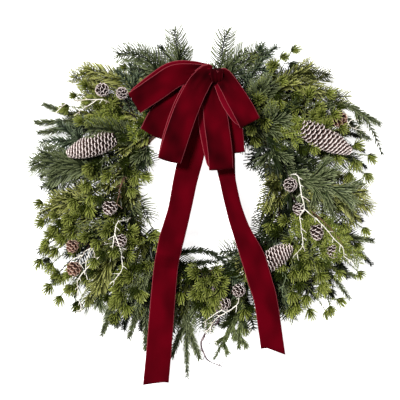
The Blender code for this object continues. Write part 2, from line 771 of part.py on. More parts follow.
# Heights and places that a stem tries until it is clear
LIFTS = (0, 4, -4, 8, -8, 12, -12, 16, -16, 20, 26)
FORK_SLIDES = (0, 0.1, -0.1, 0.2)


def lay_stem(make_path, kind, owner, parent, space, bare, tufted=False):
    """The first of a few heights at which a stem is clear, or None."""
    for lift in LIFTS:
        shoot = Shoot(make_path(lift * MM), kind, owner, parent, bare, tufted)
        lowest = min(point.z for point in shoot.path)
        if lowest < 3 * MM:
            continue
        if stem_clear(shoot, space):
            space.add_path(shoot.path, shoot.radii(), owner)
            return shoot
    return None


def main_path(spray, ring_tree, lift):
    """The main shoot's curve from its seat on the vine to its tip."""
    start, away = ring_seat(ring_tree, spray.root, spray.seat)
    tip = Vector(spray.tip) * MM
    tip.z += lift
    run = tip - start
    run.z = 0
    side = UP.cross(run.normalized())
    reach = (tip - start).length
    first = start + away * reach * 0.3
    second = start.lerp(tip, 0.66) + side * spray.bend * MM
    second.z = tip.z + 6 * MM + lift
    count = max(4, round(reach * 1.05 / (spray.kind.pitch * MM)))
    return bezier(start, first, second, tip, count)


def fork_path(parent_path, share, tip, pitch, lift):
    """A side shoot's curve from a point on its parent to its tip."""
    index = min(max(1, round(share * (len(parent_path) - 1))), len(parent_path) - 2)
    start = parent_path[index]
    forward = (parent_path[index + 1] - start).normalized()
    end = tip.copy()
    end.z += lift
    reach = (end - start).length
    middle = start + (forward * 0.55 + (end - start).normalized() * 0.45) * reach * 0.4
    count = max(3, round(reach / pitch))
    return bezier(start, middle, start.lerp(end, 0.7), end, count)


def side_tips(path, kind, pairs):
    """Tips of the short side shoots that follow the parent's level plane."""
    tips = []
    shares = [0.5 + 0.3 * index / max(pairs * 2 - 1, 1) for index in range(pairs * 2)]
    for index, share in enumerate(shares):
        spot = round(share * (len(path) - 1))
        forward = (path[min(spot + 1, len(path) - 1)] - path[spot - 1]).normalized()
        side = forward.cross(UP).normalized() * (1 if index % 2 else -1)
        reach = kind.branch * MM * (1.15 - 0.5 * share)
        tips.append((share, path[spot] + (forward * 0.72 + side * 0.66) * reach + UP * 2 * MM))
    return tips


def plan_spray(spray, ring_tree, space, first_owner):
    """The clear stems of a spray, main shoot first."""
    kind = spray.kind
    main = lay_stem(lambda lift: main_path(spray, ring_tree, lift), kind, first_owner, -1,
                    space, 0.26, kind.tuft > 0)
    if main is None:
        raise RuntimeError(f"{spray.name} finds no clear way from the ring")
    shoots = [main]
    tips = [(share, Vector(tip) * MM) for share, tip in spray.forks]
    if not kind.tuft:
        tips += side_tips(main.path, kind, spray.pairs)
    for share, tip in tips:
        for slide in FORK_SLIDES:
            shoot = lay_stem(
                lambda lift: fork_path(main.path, share + slide, tip, kind.pitch * MM, lift),
                kind, first_owner + len(shoots), first_owner, space, 0.1, kind.tuft > 0)
            if shoot is not None:
                shoots.append(shoot)
                break
    return shoots


def grow_needles(bm, segment, shoot, frames, space):
    """Draw a needle out of each free wall triangle of a stem."""
    kind = shoot.kind
    walls = [face for face in bm.faces if face[segment] >= 0]
    bmesh.ops.triangulate(bm, faces=walls)
    count = len(frames) - 1
    first = max(1, round(shoot.bare * count))
    for face in [face for face in bm.faces if face[segment] >= first]:
        number = face[segment]
        place, forward, _, up = frames[number]
        face.normal_update()
        out = face.normal - forward * face.normal.dot(forward)
        out.normalize()
        if kind.flat and out.dot(up) < -0.5:
            continue
        base = face.calc_center_median()
        around = forward.cross(out)
        turn = math.radians(30) * (1 if (base - place).dot(around) > 0 else -1)
        way = forward * kind.lean + out * math.cos(turn) + around * math.sin(turn)
        length = kind.needle * MM * (1 - 0.2 * number / count)
        tip = base + way.normalized() * length
        if tip.z < LOWEST_NEEDLE:
            continue
        if needle_clear(face, base, tip, space, shoot.owner):
            draw_out(bm, face, tip)
            space.add(base.lerp(tip, 0.12), tip, NEEDLE_HALF_WIDTH, shoot.owner)


def needle_clear(face, base, tip, space, owner):
    """Whether a needle's middle and its three edges are free."""
    if not space.clear(base.lerp(tip, 0.12), tip, NEEDLE_HALF_WIDTH, [owner]):
        return False
    return all(space.clear(vert.co, tip, NEEDLE_EDGE, [owner]) for vert in face.verts)


def draw_out(bm, face, tip):
    """Pull a face's middle out to a point."""
    made = bmesh.ops.poke(bm, faces=[face])
    made["verts"][0].co = tip


def grow_tuft(shoot, space):
    """A rosette of needles on a small knob at a stem's end."""
    kind = shoot.kind
    end = shoot.path[-1]
    forward = (end - shoot.path[-2]).normalized()
    face_up = (forward + UP * 0.8).normalized()
    turn = UP.rotation_difference(face_up).to_matrix().to_4x4()
    bm = bmesh.new()
    bmesh.ops.create_uvsphere(bm, u_segments=5, v_segments=2, radius=2.4 * MM)
    bmesh.ops.transform(bm, matrix=Matrix.Translation(end) @ turn, verts=bm.verts)
    for face in list(bm.faces):
        face.normal_update()
        tip = end + (face.normal + face_up * 0.35).normalized() * kind.tuft * MM
        foot = end.lerp(tip, 0.3)
        if tip.z > LOWEST_NEEDLE and space.clear(foot, tip, NEEDLE_HALF_WIDTH, [shoot.owner]):
            draw_out(bm, face, tip)
            space.add(foot, tip, NEEDLE_HALF_WIDTH, shoot.owner)
    return new_object("tuft", bm)


def grow_spray(spray, shoots, space):
    """One spray: its stems and needles in one body."""
    pieces = []
    for shoot in shoots:
        frames = frames_along(shoot.path, level_side(shoot.path))
        bm, segment = tube(frames, shoot.radii(), 3)
        if not shoot.tufted:
            grow_needles(bm, segment, shoot, frames, space)
            cap = max((face for face in bm.faces if face[segment] == -1),
                      key=lambda face: (face.calc_center_median() - frames[0][0]).length)
            tip = frames[-1][0] + frames[-1][1] * spray.kind.needle * 0.6 * MM
            if space.clear(frames[-1][0], tip, NEEDLE_HALF_WIDTH, [shoot.owner]):
                draw_out(bm, cap, tip)
        pieces.append(new_object(spray.name + "_stem", bm))
        if shoot.tufted:
            pieces.append(grow_tuft(shoot, space))
    thing = join_pieces(pieces, spray.name)
    give_surface(thing, spray.kind.surface)
    return thing


def stand_on_origin(things):
    """Hold everything on one empty that puts the outline's middle over the origin."""
    graph = bpy.context.evaluated_depsgraph_get()
    corners = []
    for thing in things:
        mesh = thing.evaluated_get(graph).to_mesh()
        corners += [vert.co.copy() for vert in mesh.vertices]
    lows = [min(corner[axis] for corner in corners) for axis in range(2)]
    highs = [max(corner[axis] for corner in corners) for axis in range(2)]
    stand = bpy.data.objects.new("wreath", None)
    bpy.context.collection.objects.link(stand)
    stand.location = (-(lows[0] + highs[0]) / 2, -(lows[1] + highs[1]) / 2, 0)
    for thing in things:
        thing.parent = stand


def main():
    """Build the wreath from the ring outwards."""
    clear_scene()
    space = Space()
    ring = make_ring()
    give_surface(ring, VINE)
    ring_tree = world_tree(ring)
    space.trees.append(ring_tree)
    wire, wire_path = make_wire(ring_tree)
    give_surface(wire, WIRE)
    space.add_path(wire_path, [WIRE_RADIUS] * len(wire_path), 0)
    solids = [make_knot()]
    solids += [make_loop(loop) for loop in LOOPS]
    solids += [make_tail(tail) for tail in TAILS]
    for solid in solids:
        give_surface(solid, VELVET)
    things = [ring, wire, *solids]
    owner = 1
    for bough in BOUGHS:
        things.append(make_bough(bough, ring_tree, space, owner))
        owner += 1
        if bough.cones:
            solids.append(things[-1])
    space.trees += [world_tree(solid) for solid in solids]
    planned = []
    for spray in SPRAYS:
        shoots = plan_spray(spray, ring_tree, space, owner)
        owner += len(shoots)
        planned.append((spray, shoots))
    for spray, shoots in planned:
        things.append(grow_spray(spray, shoots, space))
    stand_on_origin(things)


main()
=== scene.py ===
"""Looks of a pine wreath with a velvet bow, lying on its back and seen from above.

The front faces +Z and the wreath's top points along +Y. Plan tables are in
millimetres from the vine ring's axis: across, up and, where there is one, height.
"""
import logging
import math
import random
from dataclasses import dataclass
from enum import Enum

import bmesh
import bpy
from mathutils import Matrix, Vector, noise


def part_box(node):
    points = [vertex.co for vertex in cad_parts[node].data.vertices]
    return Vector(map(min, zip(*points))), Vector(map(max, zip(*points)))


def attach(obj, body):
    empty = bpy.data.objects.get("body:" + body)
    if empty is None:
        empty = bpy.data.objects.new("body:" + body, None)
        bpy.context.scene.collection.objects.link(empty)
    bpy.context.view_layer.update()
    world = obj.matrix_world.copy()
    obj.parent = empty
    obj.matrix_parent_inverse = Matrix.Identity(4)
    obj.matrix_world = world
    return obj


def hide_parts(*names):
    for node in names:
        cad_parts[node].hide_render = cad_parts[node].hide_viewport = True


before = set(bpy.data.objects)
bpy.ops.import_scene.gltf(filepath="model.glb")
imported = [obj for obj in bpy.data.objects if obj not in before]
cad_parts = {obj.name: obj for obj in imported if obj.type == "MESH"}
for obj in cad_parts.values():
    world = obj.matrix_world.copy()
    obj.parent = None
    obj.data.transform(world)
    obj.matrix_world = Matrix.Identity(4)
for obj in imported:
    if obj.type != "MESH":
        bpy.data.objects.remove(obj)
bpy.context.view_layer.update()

LOG = logging.getLogger("wreath")
MM = 0.001
UP = Vector((0, 0, 1))
ROOT = "root"
GOLDEN_ANGLE = 137.5
GOLDEN_TURN = math.radians(GOLDEN_ANGLE)
RING_LOW, RING_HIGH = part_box("vine_ring")
AXIS = Vector(((RING_LOW.x + RING_HIGH.x) / 2, (RING_LOW.y + RING_HIGH.y) / 2, 0))
RING_RADIUS = 160 * MM
RING_TUBE = (RING_HIGH.z - RING_LOW.z) / 2

Colour = tuple[float, float, float]
Path = list[Vector]
Form = bmesh.types.BMesh
Mesh = bpy.types.Mesh
Material = bpy.types.Material
Socket = bpy.types.NodeSocket
Draw = random.Random


def millimetres(*numbers: float) -> Vector:
    """A point or a step given in millimetres."""
    return Vector(numbers) * MM


def ease(share: float) -> float:
    """A soft step from 0 to 1."""
    share = min(max(share, 0.0), 1.0)
    return share * share * (3 - 2 * share)


def mixed(low: float, high: float, share: float) -> float:
    """A value between two others."""
    return low + (high - low) * share


def read_off(marks: list[float], values: list[float], at: float) -> float:
    """Read a value between rising marks.

    Args:
        marks: rising places.
        values: the value at each mark.
        at: the place to read.

    Returns:
        The value there, held level past both ends.
    """
    if at <= marks[0]:
        return values[0]
    for low, high, before, after in zip(marks, marks[1:], values, values[1:]):
        if at <= high:
            return mixed(before, after, (at - low) / max(high - low, 1e-9))
    return values[-1]


def polar(angle: float, reach: float, height: float = 0.0) -> Vector:
    """A point by its angle in degrees and its distance from the axis, in metres."""
    turn = math.radians(angle)
    return Vector((math.cos(turn) * reach, math.sin(turn) * reach, height))


def smooth_path(points: Path, step: float) -> Path:
    """Points about one step apart on a smooth curve through the given points.

    Args:
        points: what the curve passes through.
        step: the distance wanted between points.

    Returns:
        The curve's points, both ends with them.
    """
    ends = [points[0] * 2 - points[1], *points, points[-1] * 2 - points[-2]]
    path = [points[0].copy()]
    for before, start, end, after in zip(ends, ends[1:], ends[2:], ends[3:]):
        parts = max(1, round((end - start).length / step))
        for part in range(1, parts + 1):
            t = part / parts
            path.append(0.5 * (2 * start + (end - before) * t
                               + (2 * before - 5 * start + 4 * end - after) * t ** 2
                               + (3 * start - before - 3 * end + after) * t ** 3))
    return path


def bezier(start: Vector, first: Vector, second: Vector, end: Vector, count: int) -> Path:
    """Points along one cubic curve.

    Args:
        start: where it begins.
        first: the handle of its beginning.
        second: the handle of its end.
        end: where it ends.
        count: its steps.

    Returns:
        The points, one more than its steps.
    """
    points = []
    for index in range(count + 1):
        t = index / count
        points.append((1 - t) ** 3 * start + 3 * t * (1 - t) ** 2 * first
                      + 3 * t ** 2 * (1 - t) * second + t ** 3 * end)
    return points


def length_of(path: Path) -> float:
    """The length of a line through points."""
    return sum((b - a).length for a, b in zip(path, path[1:]))


def heading(path: Path, index: int) -> Vector:
    """The way that a path runs at one of its points."""
    return (path[min(index + 1, len(path) - 1)] - path[max(index - 1, 0)]).normalized()


def inner_point(path: Path, share: float) -> int:
    """The number of the point, ends left out, that is nearest to a share of a path."""
    return min(max(1, round(share * (len(path) - 1))), len(path) - 2)


def level_side(path: Path) -> Vector:
    """The level direction across a path.

    Args:
        path: its points.

    Returns:
        The left of its run, or of the picture where it stands upright.
    """
    run = path[-1] - path[0]
    run.z = 0
    if run.length < 1 * MM:
        return Vector((-1, 0, 0))
    return UP.cross(run).normalized()


def aimed(across: Vector, forward: Vector) -> Matrix:
    """A turn whose X axis lies across and whose Z axis points forward."""
    return Matrix((across, forward.cross(across), forward)).transposed().to_4x4()


def frames_along(path: Path, side: Vector) -> list[Matrix]:
    """A frame at each point of a path.

    Args:
        path: the points.
        side: a direction that the frames' X axis keeps to.

    Returns:
        Matrices whose Z axis runs along the path and whose Y axis is its upper side.
    """
    frames = []
    for index, place in enumerate(path):
        forward = heading(path, index)
        across = (side - forward * side.dot(forward)).normalized()
        frames.append(Matrix.Translation(place) @ aimed(across, forward))
    return frames


def tapered(count: int, start: float, end: float) -> list[float]:
    """Radii that run evenly from one to another."""
    return [mixed(start, end, index / max(count - 1, 1)) for index in range(count)]


def stored(bm: Form, name: str) -> Mesh:
    """Keep a form as a mesh.

    Args:
        bm: the form, which is freed.
        name: the mesh's name.

    Returns:
        The mesh.
    """
    mesh = bpy.data.meshes.new(name)
    bm.to_mesh(mesh)
    bm.free()
    return mesh


def shown(name: str, data: bpy.types.ID) -> bpy.types.Object:
    """Put data in the scene.

    Args:
        name: the object's name.
        data: its mesh, lamp or camera.

    Returns:
        The object.
    """
    thing = bpy.data.objects.new(name, data)
    bpy.context.scene.collection.objects.link(thing)
    return thing


def add_tube(bm: Form, frames: list[Matrix], radii: list[float], sides: int) -> list:
    """Add a closed tube through frames.

    Args:
        bm: the form that it joins.
        frames: one matrix for each ring of the tube.
        radii: the radius at each ring.
        sides: corners of its section.

    Returns:
        The tube's vertices.
    """
    whole = bmesh.new()
    bmesh.ops.create_cone(whole, cap_ends=True, cap_tris=False, segments=sides,
                          radius1=1, radius2=1, depth=1)
    walls = [edge for edge in whole.edges if abs(edge.verts[0].co.z - edge.verts[1].co.z) > 0.5]
    last = len(frames) - 1
    if last > 1:
        bmesh.ops.subdivide_edges(whole, edges=walls, cuts=last - 1, use_grid_fill=True)
    for vert in whole.verts:
        number = round((vert.co.z + 0.5) * last)
        vert.co = frames[number] @ Vector((vert.co.x * radii[number], vert.co.y * radii[number], 0))
    spare = stored(whole, "tube")
    known = len(bm.verts)
    bm.from_mesh(spare)
    bpy.data.meshes.remove(spare)
    bm.verts.ensure_lookup_table()
    return bm.verts[known:]


def add_rod(bm: Form, path: Path, radii: list[float], sides: int) -> None:
    """Add a closed tube along a path."""
    add_tube(bm, frames_along(path, level_side(path)), radii, sides)


def copy_in(bm: Form, bunch: Mesh, place: Matrix) -> None:
    """Add a copy of a stored mesh at a place.

    Args:
        bm: the form that it joins.
        bunch: the stored mesh, which comes back unchanged.
        place: where the copy goes.
    """
    bunch.transform(place)
    bm.from_mesh(bunch)
    bunch.transform(place.inverted())


class Blend:
    """A shader graph under construction, with one method for each kind of step."""

    def __init__(self, name: str) -> None:
        """Start a material.

        Args:
            name: its name.
        """
        self.material = bpy.data.materials.new(name)
        self.material.use_nodes = True
        self.tree = self.material.node_tree
        self.shader = self.tree.nodes["Principled BSDF"]

    def feed(self, target: Socket, value: Socket | float | tuple) -> None:
        """Give a socket what it works with.

        Args:
            target: the socket.
            value: another socket to lead to it, or a constant.
        """
        if isinstance(value, bpy.types.NodeSocket):
            self.tree.links.new(value, target)
        else:
            target.default_value = value

    def node(self, kind: str, **inputs: Socket | float | tuple) -> bpy.types.Node:
        """Add one node.

        Args:
            kind: its kind, without the common start of the name.
            **inputs: what its sockets get, by names with _ for a space.

        Returns:
            The node.
        """
        node = self.tree.nodes.new("ShaderNode" + kind)
        for name, value in inputs.items():
            self.feed(node.inputs[name.replace("_", " ")], value)
        return node

    def place(self) -> Socket:
        """The Object coordinates."""
        return self.node("TexCoord").outputs["Object"]

    def value_of(self, name: str) -> Socket:
        """Read a number that the mesh carries.

        Args:
            name: the number's name.

        Returns:
            Its socket.
        """
        node = self.node("Attribute")
        node.attribute_name = name
        return node.outputs["Fac"]

    def noise(self, vector: Socket, scale: float, detail: float = 2.0) -> Socket:
        """A cloudy pattern from 0 to 1."""
        return self.node("TexNoise", Vector=vector, Scale=scale, Detail=detail).outputs["Fac"]

    def remap(self, value: Socket, low: float, high: float, to_low: float = 0.0,
              to_high: float = 1.0) -> Socket:
        """A stretch of a value spread over another range."""
        return self.node("MapRange", Value=value, From_Min=low, From_Max=high, To_Min=to_low,
                         To_Max=to_high).outputs["Result"]

    def math(self, operation: str, *values: Socket | float) -> Socket:
        """One step of arithmetic.

        Args:
            operation: which one.
            *values: what it works on.

        Returns:
            Its result.
        """
        node = self.node("Math")
        node.operation = operation
        for target, value in zip(node.inputs, values):
            self.feed(target, value)
        return node.outputs["Value"]

    def mix(self, share: Socket, low: Socket | Colour, high: Socket | Colour) -> Socket:
        """Mix two colours.

        Args:
            share: how much of the second there is.
            low: the first colour.
            high: the second colour.

        Returns:
            The colour between them.
        """
        node = self.node("Mix")
        node.data_type = "RGBA"
        self.feed(node.inputs["Factor"], share)
        for target, colour in ((node.inputs[6], low), (node.inputs[7], high)):
            self.feed(target, (*colour, 1.0) if isinstance(colour, tuple) else colour)
        return node.outputs[2]

    def relief(self, height: Socket, strength: float, depth: float) -> None:
        """Raise the surface a little by a pattern."""
        bump = self.node("Bump", Height=height, Strength=strength, Distance=depth)
        self.feed(self.shader.inputs["Normal"], bump.outputs["Normal"])

    def finish(self, **sockets: Socket | float | tuple) -> Material:
        """Feed the shader.

        Args:
            **sockets: what its sockets get, by names with _ for a space.

        Returns:
            The finished material.
        """
        for name, value in sockets.items():
            self.feed(self.shader.inputs[name.replace("_", " ")], value)
        return self.material


@dataclass(frozen=True)
class NeedleGreen:
    """Needles of one colour on a bark-covered stem."""

    name: str
    # deep is the dark end of each needle's random tone, and the painted shade at its root
    deep: Colour
    fresh: Colour
    tip: Colour
    bark: Colour = (0.11, 0.065, 0.04)
    bark_shadow: float = 0.55
    roughness: float = 0.42

    def material(self) -> Material:
        """Vary the needles one by one, in patches along a spray, and towards their tips, with painted shade
        at their roots.

        Returns:
            The material.
        """
        blend = Blend(self.name)
        patches = blend.remap(blend.noise(blend.place(), 24.0, 3.0), 0.42, 0.68, 0.0, 0.4)
        # The shade number is each needle's random tone, lowered on dim and shaded shoots as painted shade
        each = blend.mix(blend.value_of("shade"), self.deep, self.fresh)
        patched = blend.mix(patches, each, self.fresh)
        # Darker towards each needle's root: painted shade deep in the spray
        rooted = blend.mix(blend.remap(blend.value_of("tip"), 0.0, 0.5), self.deep, patched)
        ended = blend.mix(blend.remap(blend.value_of("tip"), 0.4, 1.0, 0.0, 0.65), rooted, self.tip)
        grain = blend.noise(blend.place(), 900.0)
        dark_bark = tuple(part * self.bark_shadow for part in self.bark)
        colour = blend.mix(blend.value_of("bark"), ended, blend.mix(grain, dark_bark, self.bark))
        blend.relief(grain, 0.25, 0.2 * MM)
        return blend.finish(Base_Color=colour, Roughness=self.roughness, Specular_IOR_Level=0.18)


@dataclass(frozen=True)
class BarkFinish:
    """Bark or vine with grain, pores and paler worn ridges."""

    name: str
    dark: Colour
    body: Colour
    pale: Colour
    pale_share: float = 0.35
    roughness: float = 0.85

    def material(self) -> Material:
        """Mix a fibrous brown or frosted bark.

        Returns:
            The material.
        """
        blend = Blend(self.name)
        fibre = blend.noise(blend.place(), 260.0, 4.0)
        cloud = blend.noise(blend.place(), 45.0)
        wood = blend.mix(blend.remap(fibre, 0.35, 0.65), self.dark, self.body)
        worn = blend.remap(cloud, 0.62 - self.pale_share * 0.5, 0.7 - self.pale_share * 0.3)
        blend.relief(fibre, 0.6, 0.5 * MM)
        return blend.finish(Base_Color=blend.mix(worn, wood, self.pale), Roughness=self.roughness,
                            Specular_IOR_Level=0.25)


@dataclass(frozen=True)
class ConeFinish:
    """Cone scales: brown wood, darker at the root as painted shade between the scales, with pale frosted
    tips.
    """

    name: str
    root: Colour = (0.012, 0.006, 0.005)
    wood: Colour = (0.045, 0.02, 0.014)
    frost: Colour = (0.92, 0.79, 0.75)
    frost_share: float = 1.0
    roughness: float = 0.75

    def material(self) -> Material:
        """Break the frost up by a fine pattern over ribbed brown wood.

        Returns:
            The material.
        """
        blend = Blend(self.name)
        ribs = blend.noise(blend.place(), 420.0, 3.0)
        tip = blend.value_of("tip")
        # Darker towards each scale's root: painted shade between the scales
        wood = blend.mix(blend.remap(tip, 0.0, 0.75), self.root, self.wood)
        broken = blend.remap(ribs, 0.36, 0.56, 0.4, 1.0)
        end = blend.remap(tip, 0.79, 0.88, 0.0, self.frost_share)
        colour = blend.mix(blend.math("MULTIPLY", end, broken), wood, self.frost)
        blend.relief(ribs, 0.5, 0.4 * MM)
        return blend.finish(Base_Color=colour, Roughness=self.roughness, Specular_IOR_Level=0.25)


@dataclass(frozen=True)
class VelvetFinish:
    """Crimson pile with darker and paler patches, partly the nap and partly painted shade, and a paler woven
    edge.
    """

    name: str
    pile: Colour
    brushed_and_lit: Colour
    edge: Colour = (0.22, 0.035, 0.045)
    edge_share: float = 0.02
    sheen: float = 0.03
    sheen_tint: Colour = (0.8, 0.08, 0.12)
    stretch: tuple = (0.7, 0.45, 1.0)

    def material(self) -> Material:
        """Move the pile's colour in long soft patches along the ribbon.

        Returns:
            The material.
        """
        blend = Blend(self.name)
        run = blend.node("TexCoord").outputs["UV"]
        stretched = blend.node("Mapping", Vector=run, Scale=self.stretch).outputs["Vector"]
        # Long soft patches of darker and paler pile: partly the nap, partly painted shade of crumples
        patches = blend.noise(stretched, 1.3, 1.5)
        nap = blend.noise(blend.place(), 2600.0)
        pile = blend.mix(blend.remap(patches, 0.36, 0.6, 0.0, 0.95), self.pile, self.brushed_and_lit)
        colour = blend.mix(self.edge_mask(blend, run), pile, self.edge)
        blend.relief(nap, 0.35, 0.25 * MM)
        return blend.finish(Base_Color=colour, Roughness=0.9, Specular_IOR_Level=0.02,
                            Sheen_Weight=self.sheen, Sheen_Roughness=0.4,
                            Sheen_Tint=(*self.sheen_tint, 1.0))

    def edge_mask(self, blend: Blend, run: Socket) -> Socket:
        """Find the woven edges.

        Args:
            blend: the material's graph.
            run: the ribbon's own UV map.

        Returns:
            1 on the woven edges of the ribbon and 0 on its pile.
        """
        across = blend.node("SeparateXYZ", Vector=run).outputs["X"]
        away = blend.math("ABSOLUTE", blend.math("SUBTRACT", across, 0.5))
        start = 0.5 - self.edge_share
        return blend.remap(away, start - 0.006, start + 0.002)


@dataclass(frozen=True)
class WireFinish:
    """Green painted florist's wire."""

    name: str
    paint: Colour = (0.05, 0.09, 0.045)
    worn: Colour = (0.2, 0.21, 0.18)

    def material(self) -> Material:
        """Paint the wire, with small worn spots.

        Returns:
            The material.
        """
        blend = Blend(self.name)
        spots = blend.remap(blend.noise(blend.place(), 700.0, 3.0), 0.58, 0.68)
        return blend.finish(Base_Color=blend.mix(spots, self.paint, self.worn), Roughness=0.45,
                            Metallic=0.3)


class Palette:
    """Every finish of the wreath, made once each when it is first asked for."""

    FINISHES = {
        "fir": NeedleGreen("fir_needles", (0.007, 0.012, 0.004), (0.09, 0.11, 0.045), (0.23, 0.265, 0.125),
                           bark=(0.06, 0.055, 0.03)),
        "night": NeedleGreen("night_needles", (0.003, 0.005, 0.003), (0.03, 0.04, 0.022),
                             (0.07, 0.085, 0.055), bark=(0.04, 0.03, 0.02)),
        "olive": NeedleGreen("olive_needles", (0.016, 0.019, 0.003), (0.165, 0.175, 0.03),
                             (0.48, 0.485, 0.165), bark=(0.09, 0.075, 0.03)),
        "blue": NeedleGreen("blue_needles", (0.006, 0.012, 0.006), (0.066, 0.094, 0.05), (0.25, 0.3, 0.18)),
        "rope": NeedleGreen("rope_needles", (0.01, 0.015, 0.006), (0.084, 0.106, 0.042), (0.27, 0.3, 0.15)),
        "tuft": NeedleGreen("tuft_needles", (0.01, 0.017, 0.002), (0.12, 0.15, 0.015), (0.42, 0.455, 0.11),
                            bark=(0.17, 0.19, 0.09)),
        "cypress": NeedleGreen("cypress_needles", (0.045, 0.065, 0.007), (0.22, 0.26, 0.03),
                               (0.48, 0.5, 0.13), bark=(0.2, 0.2, 0.07)),
        "cedar": NeedleGreen("cedar_needles", (0.01, 0.017, 0.004), (0.11, 0.14, 0.04), (0.27, 0.31, 0.13)),
        "juniper": NeedleGreen("juniper_needles", (0.009, 0.016, 0.005), (0.09, 0.118, 0.044),
                               (0.34, 0.38, 0.19)),
        # Darker needles for the low shaded belts: painted shade
        "undergrowth_painted_shade": NeedleGreen("undergrowth_needles", (0.004, 0.007, 0.003), (0.04, 0.05, 0.017),
                                   (0.1, 0.115, 0.05)),
        "vine": BarkFinish("vine", (0.05, 0.02, 0.012), (0.19, 0.085, 0.05), (0.3, 0.19, 0.13), 0.2),
        "frost": BarkFinish("frosted_bark", (0.3, 0.24, 0.19), (0.6, 0.53, 0.42), (0.85, 0.81, 0.72), 0.6),
        "mauve": BarkFinish("mauve_bark", (0.05, 0.03, 0.035), (0.12, 0.085, 0.09), (0.28, 0.22, 0.22), 0.2),
        "sage": BarkFinish("sage_stem", (0.07, 0.09, 0.045), (0.18, 0.22, 0.11), (0.3, 0.34, 0.2), 0.2),
        "stalk": BarkFinish("stalk_bark", (0.05, 0.025, 0.015), (0.16, 0.085, 0.05), (0.3, 0.2, 0.15), 0.1),
        "cone": ConeFinish("cone_scales"),
        "warm_cone": ConeFinish("warm_cone_scales", (0.03, 0.012, 0.008), (0.14, 0.055, 0.032),
                                (0.78, 0.55, 0.43), 0.75),
        # Darker copy of the velvet for the band over the knot: painted shade of its folds
        "gathered": VelvetFinish("velvet_gathered", (0.014, 0.0, 0.0008), (0.045, 0.0, 0.002),
                                 edge=(0.06, 0.004, 0.007), sheen=0.01),
        "velvet": VelvetFinish("velvet_face", (0.015, 0.0, 0.0008), (0.08, 0.0, 0.0032)),
        # Paler copy of the velvet for the tails: painted light
        "tail": VelvetFinish("velvet_tail", (0.042, 0.0, 0.0018), (0.083, 0.0, 0.0033)),
        "backing": VelvetFinish("velvet_back", (0.08, 0.0006, 0.004), (0.13, 0.001, 0.008)),
        "wire": WireFinish("tie_wire"),
    }

    def __init__(self) -> None:
        """Start with no material made."""
        self.made: dict[str, Material] = {}

    def get(self, key: str) -> Material:
        """Hand out the material of one finish.

        Args:
            key: the finish's key.

        Returns:
            Its material.
        """
        if key not in self.made:
            self.made[key] = self.FINISHES[key].material()
        return self.made[key]


@dataclass
class Bench:
    """Turns finished forms into pieces of the wreath and counts them."""

    palette: Palette
    triangles: int = 0

    def piece(self, name: str, bm: Form, finishes: tuple[str, ...], slot: str,
              stands_for: tuple[str, ...] = ()) -> bpy.types.Object:
        """Set a form in its place over the ring's axis and let it ride on the wreath.

        Args:
            name: the piece's name.
            bm: its form, measured from the ring's axis, which is freed.
            finishes: keys of its materials.
            slot: the record's material slot; not used.
            stands_for: the solid nodes that it replaces.

        Returns:
            The new object.
        """
        bmesh.ops.translate(bm, vec=AXIS, verts=bm.verts)
        mesh = stored(bm, name)
        thing = shown(name, mesh)
        for key in finishes:
            mesh.materials.append(self.palette.get(key))
        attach(thing, ROOT)
        if stands_for:
            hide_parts(*stands_for)
        count = sum(len(face.vertices) - 2 for face in mesh.polygons)
        self.triangles += count
        LOG.info("%s: %d triangles", name, count)
        return thing

    def named_piece(self, name: str, bm: Form, finishes: tuple[str, ...], slot: str,
                    has_node: bool = True) -> bpy.types.Object:
        """The piece of a table's row, named after the solid node where it replaces one."""
        return self.piece(name + "_fine" if has_node else name, bm, finishes, slot,
                          (name,) if has_node else ())


class Growth(Enum):
    """How needles stand round a stem."""

    FLAT = "two level ranks and a few on top"
    ROUND = "all round"
    FEATHER = "small flat twigs of scale leaves"


@dataclass(frozen=True)
class Habit:
    """How one kind of greenery grows, with sizes in millimetres and leans in degrees."""

    finish: str
    slot: str
    growth: Growth
    needle: float
    width: float
    pitch: float
    lean: float
    stem: float = 1.5
    twig: float = 40.0
    twig_gap: float = 22.0
    twig_lean: float = 46.0
    twig_end: float = 1.0
    rosette: float = 0.0
    curl: float = 0.0


class Kind(Enum):
    """The kinds of greenery in the wreath."""

    FIR = Habit("fir", "fir_needles", Growth.FLAT, 30, 2.6, 4.1, 68, stem=1.1, twig=50, twig_gap=60,
                twig_lean=40, twig_end=0.5, curl=0.36)
    NIGHT = Habit("night", "fir_needles", Growth.FLAT, 23, 3.0, 6.2, 66, stem=1.1, twig=34, twig_gap=60,
                  twig_lean=40, twig_end=0.4, curl=0.2)
    OLIVE = Habit("olive", "olive_needles", Growth.FLAT, 27, 2.5, 4.3, 54, stem=1.1, twig=48, twig_gap=54,
                  twig_lean=38, twig_end=0.6, curl=0.3)
    BLUE = Habit("blue", "blue_needles", Growth.ROUND, 19, 2.9, 5.6, 52, twig=40, twig_gap=28, curl=0.12)
    SPRUCE = Habit("rope", "blue_needles", Growth.ROUND, 15, 2.9, 4.0, 44, twig=46, twig_gap=60,
                   twig_lean=32, curl=0.15)
    ROPE = Habit("rope", "rope_needles", Growth.ROUND, 14, 2.9, 3.4, 44, twig=46, twig_gap=95,
                 twig_lean=28, curl=0.15)
    TUFT = Habit("tuft", "tuft_needles", Growth.ROUND, 7, 1.9, 10.0, 34, stem=1.1, rosette=20.5,
                 twig=26, twig_gap=38, twig_lean=56)
    CYPRESS = Habit("cypress", "cypress_needles", Growth.FEATHER, 8, 2.6, 5.8, 42, twig=34, twig_gap=18)
    CEDAR = Habit("cedar", "cypress_needles", Growth.ROUND, 13, 2.5, 3.4, 38, twig=40, twig_gap=17,
                  twig_lean=33, curl=0.2)
    JUNIPER = Habit("juniper", "juniper_needles", Growth.ROUND, 29, 2.5, 5.6, 28, twig=38, twig_gap=28,
                    curl=0.14)

    @property
    def habit(self) -> Habit:
        """The kind's own way of growing."""
        return self.value


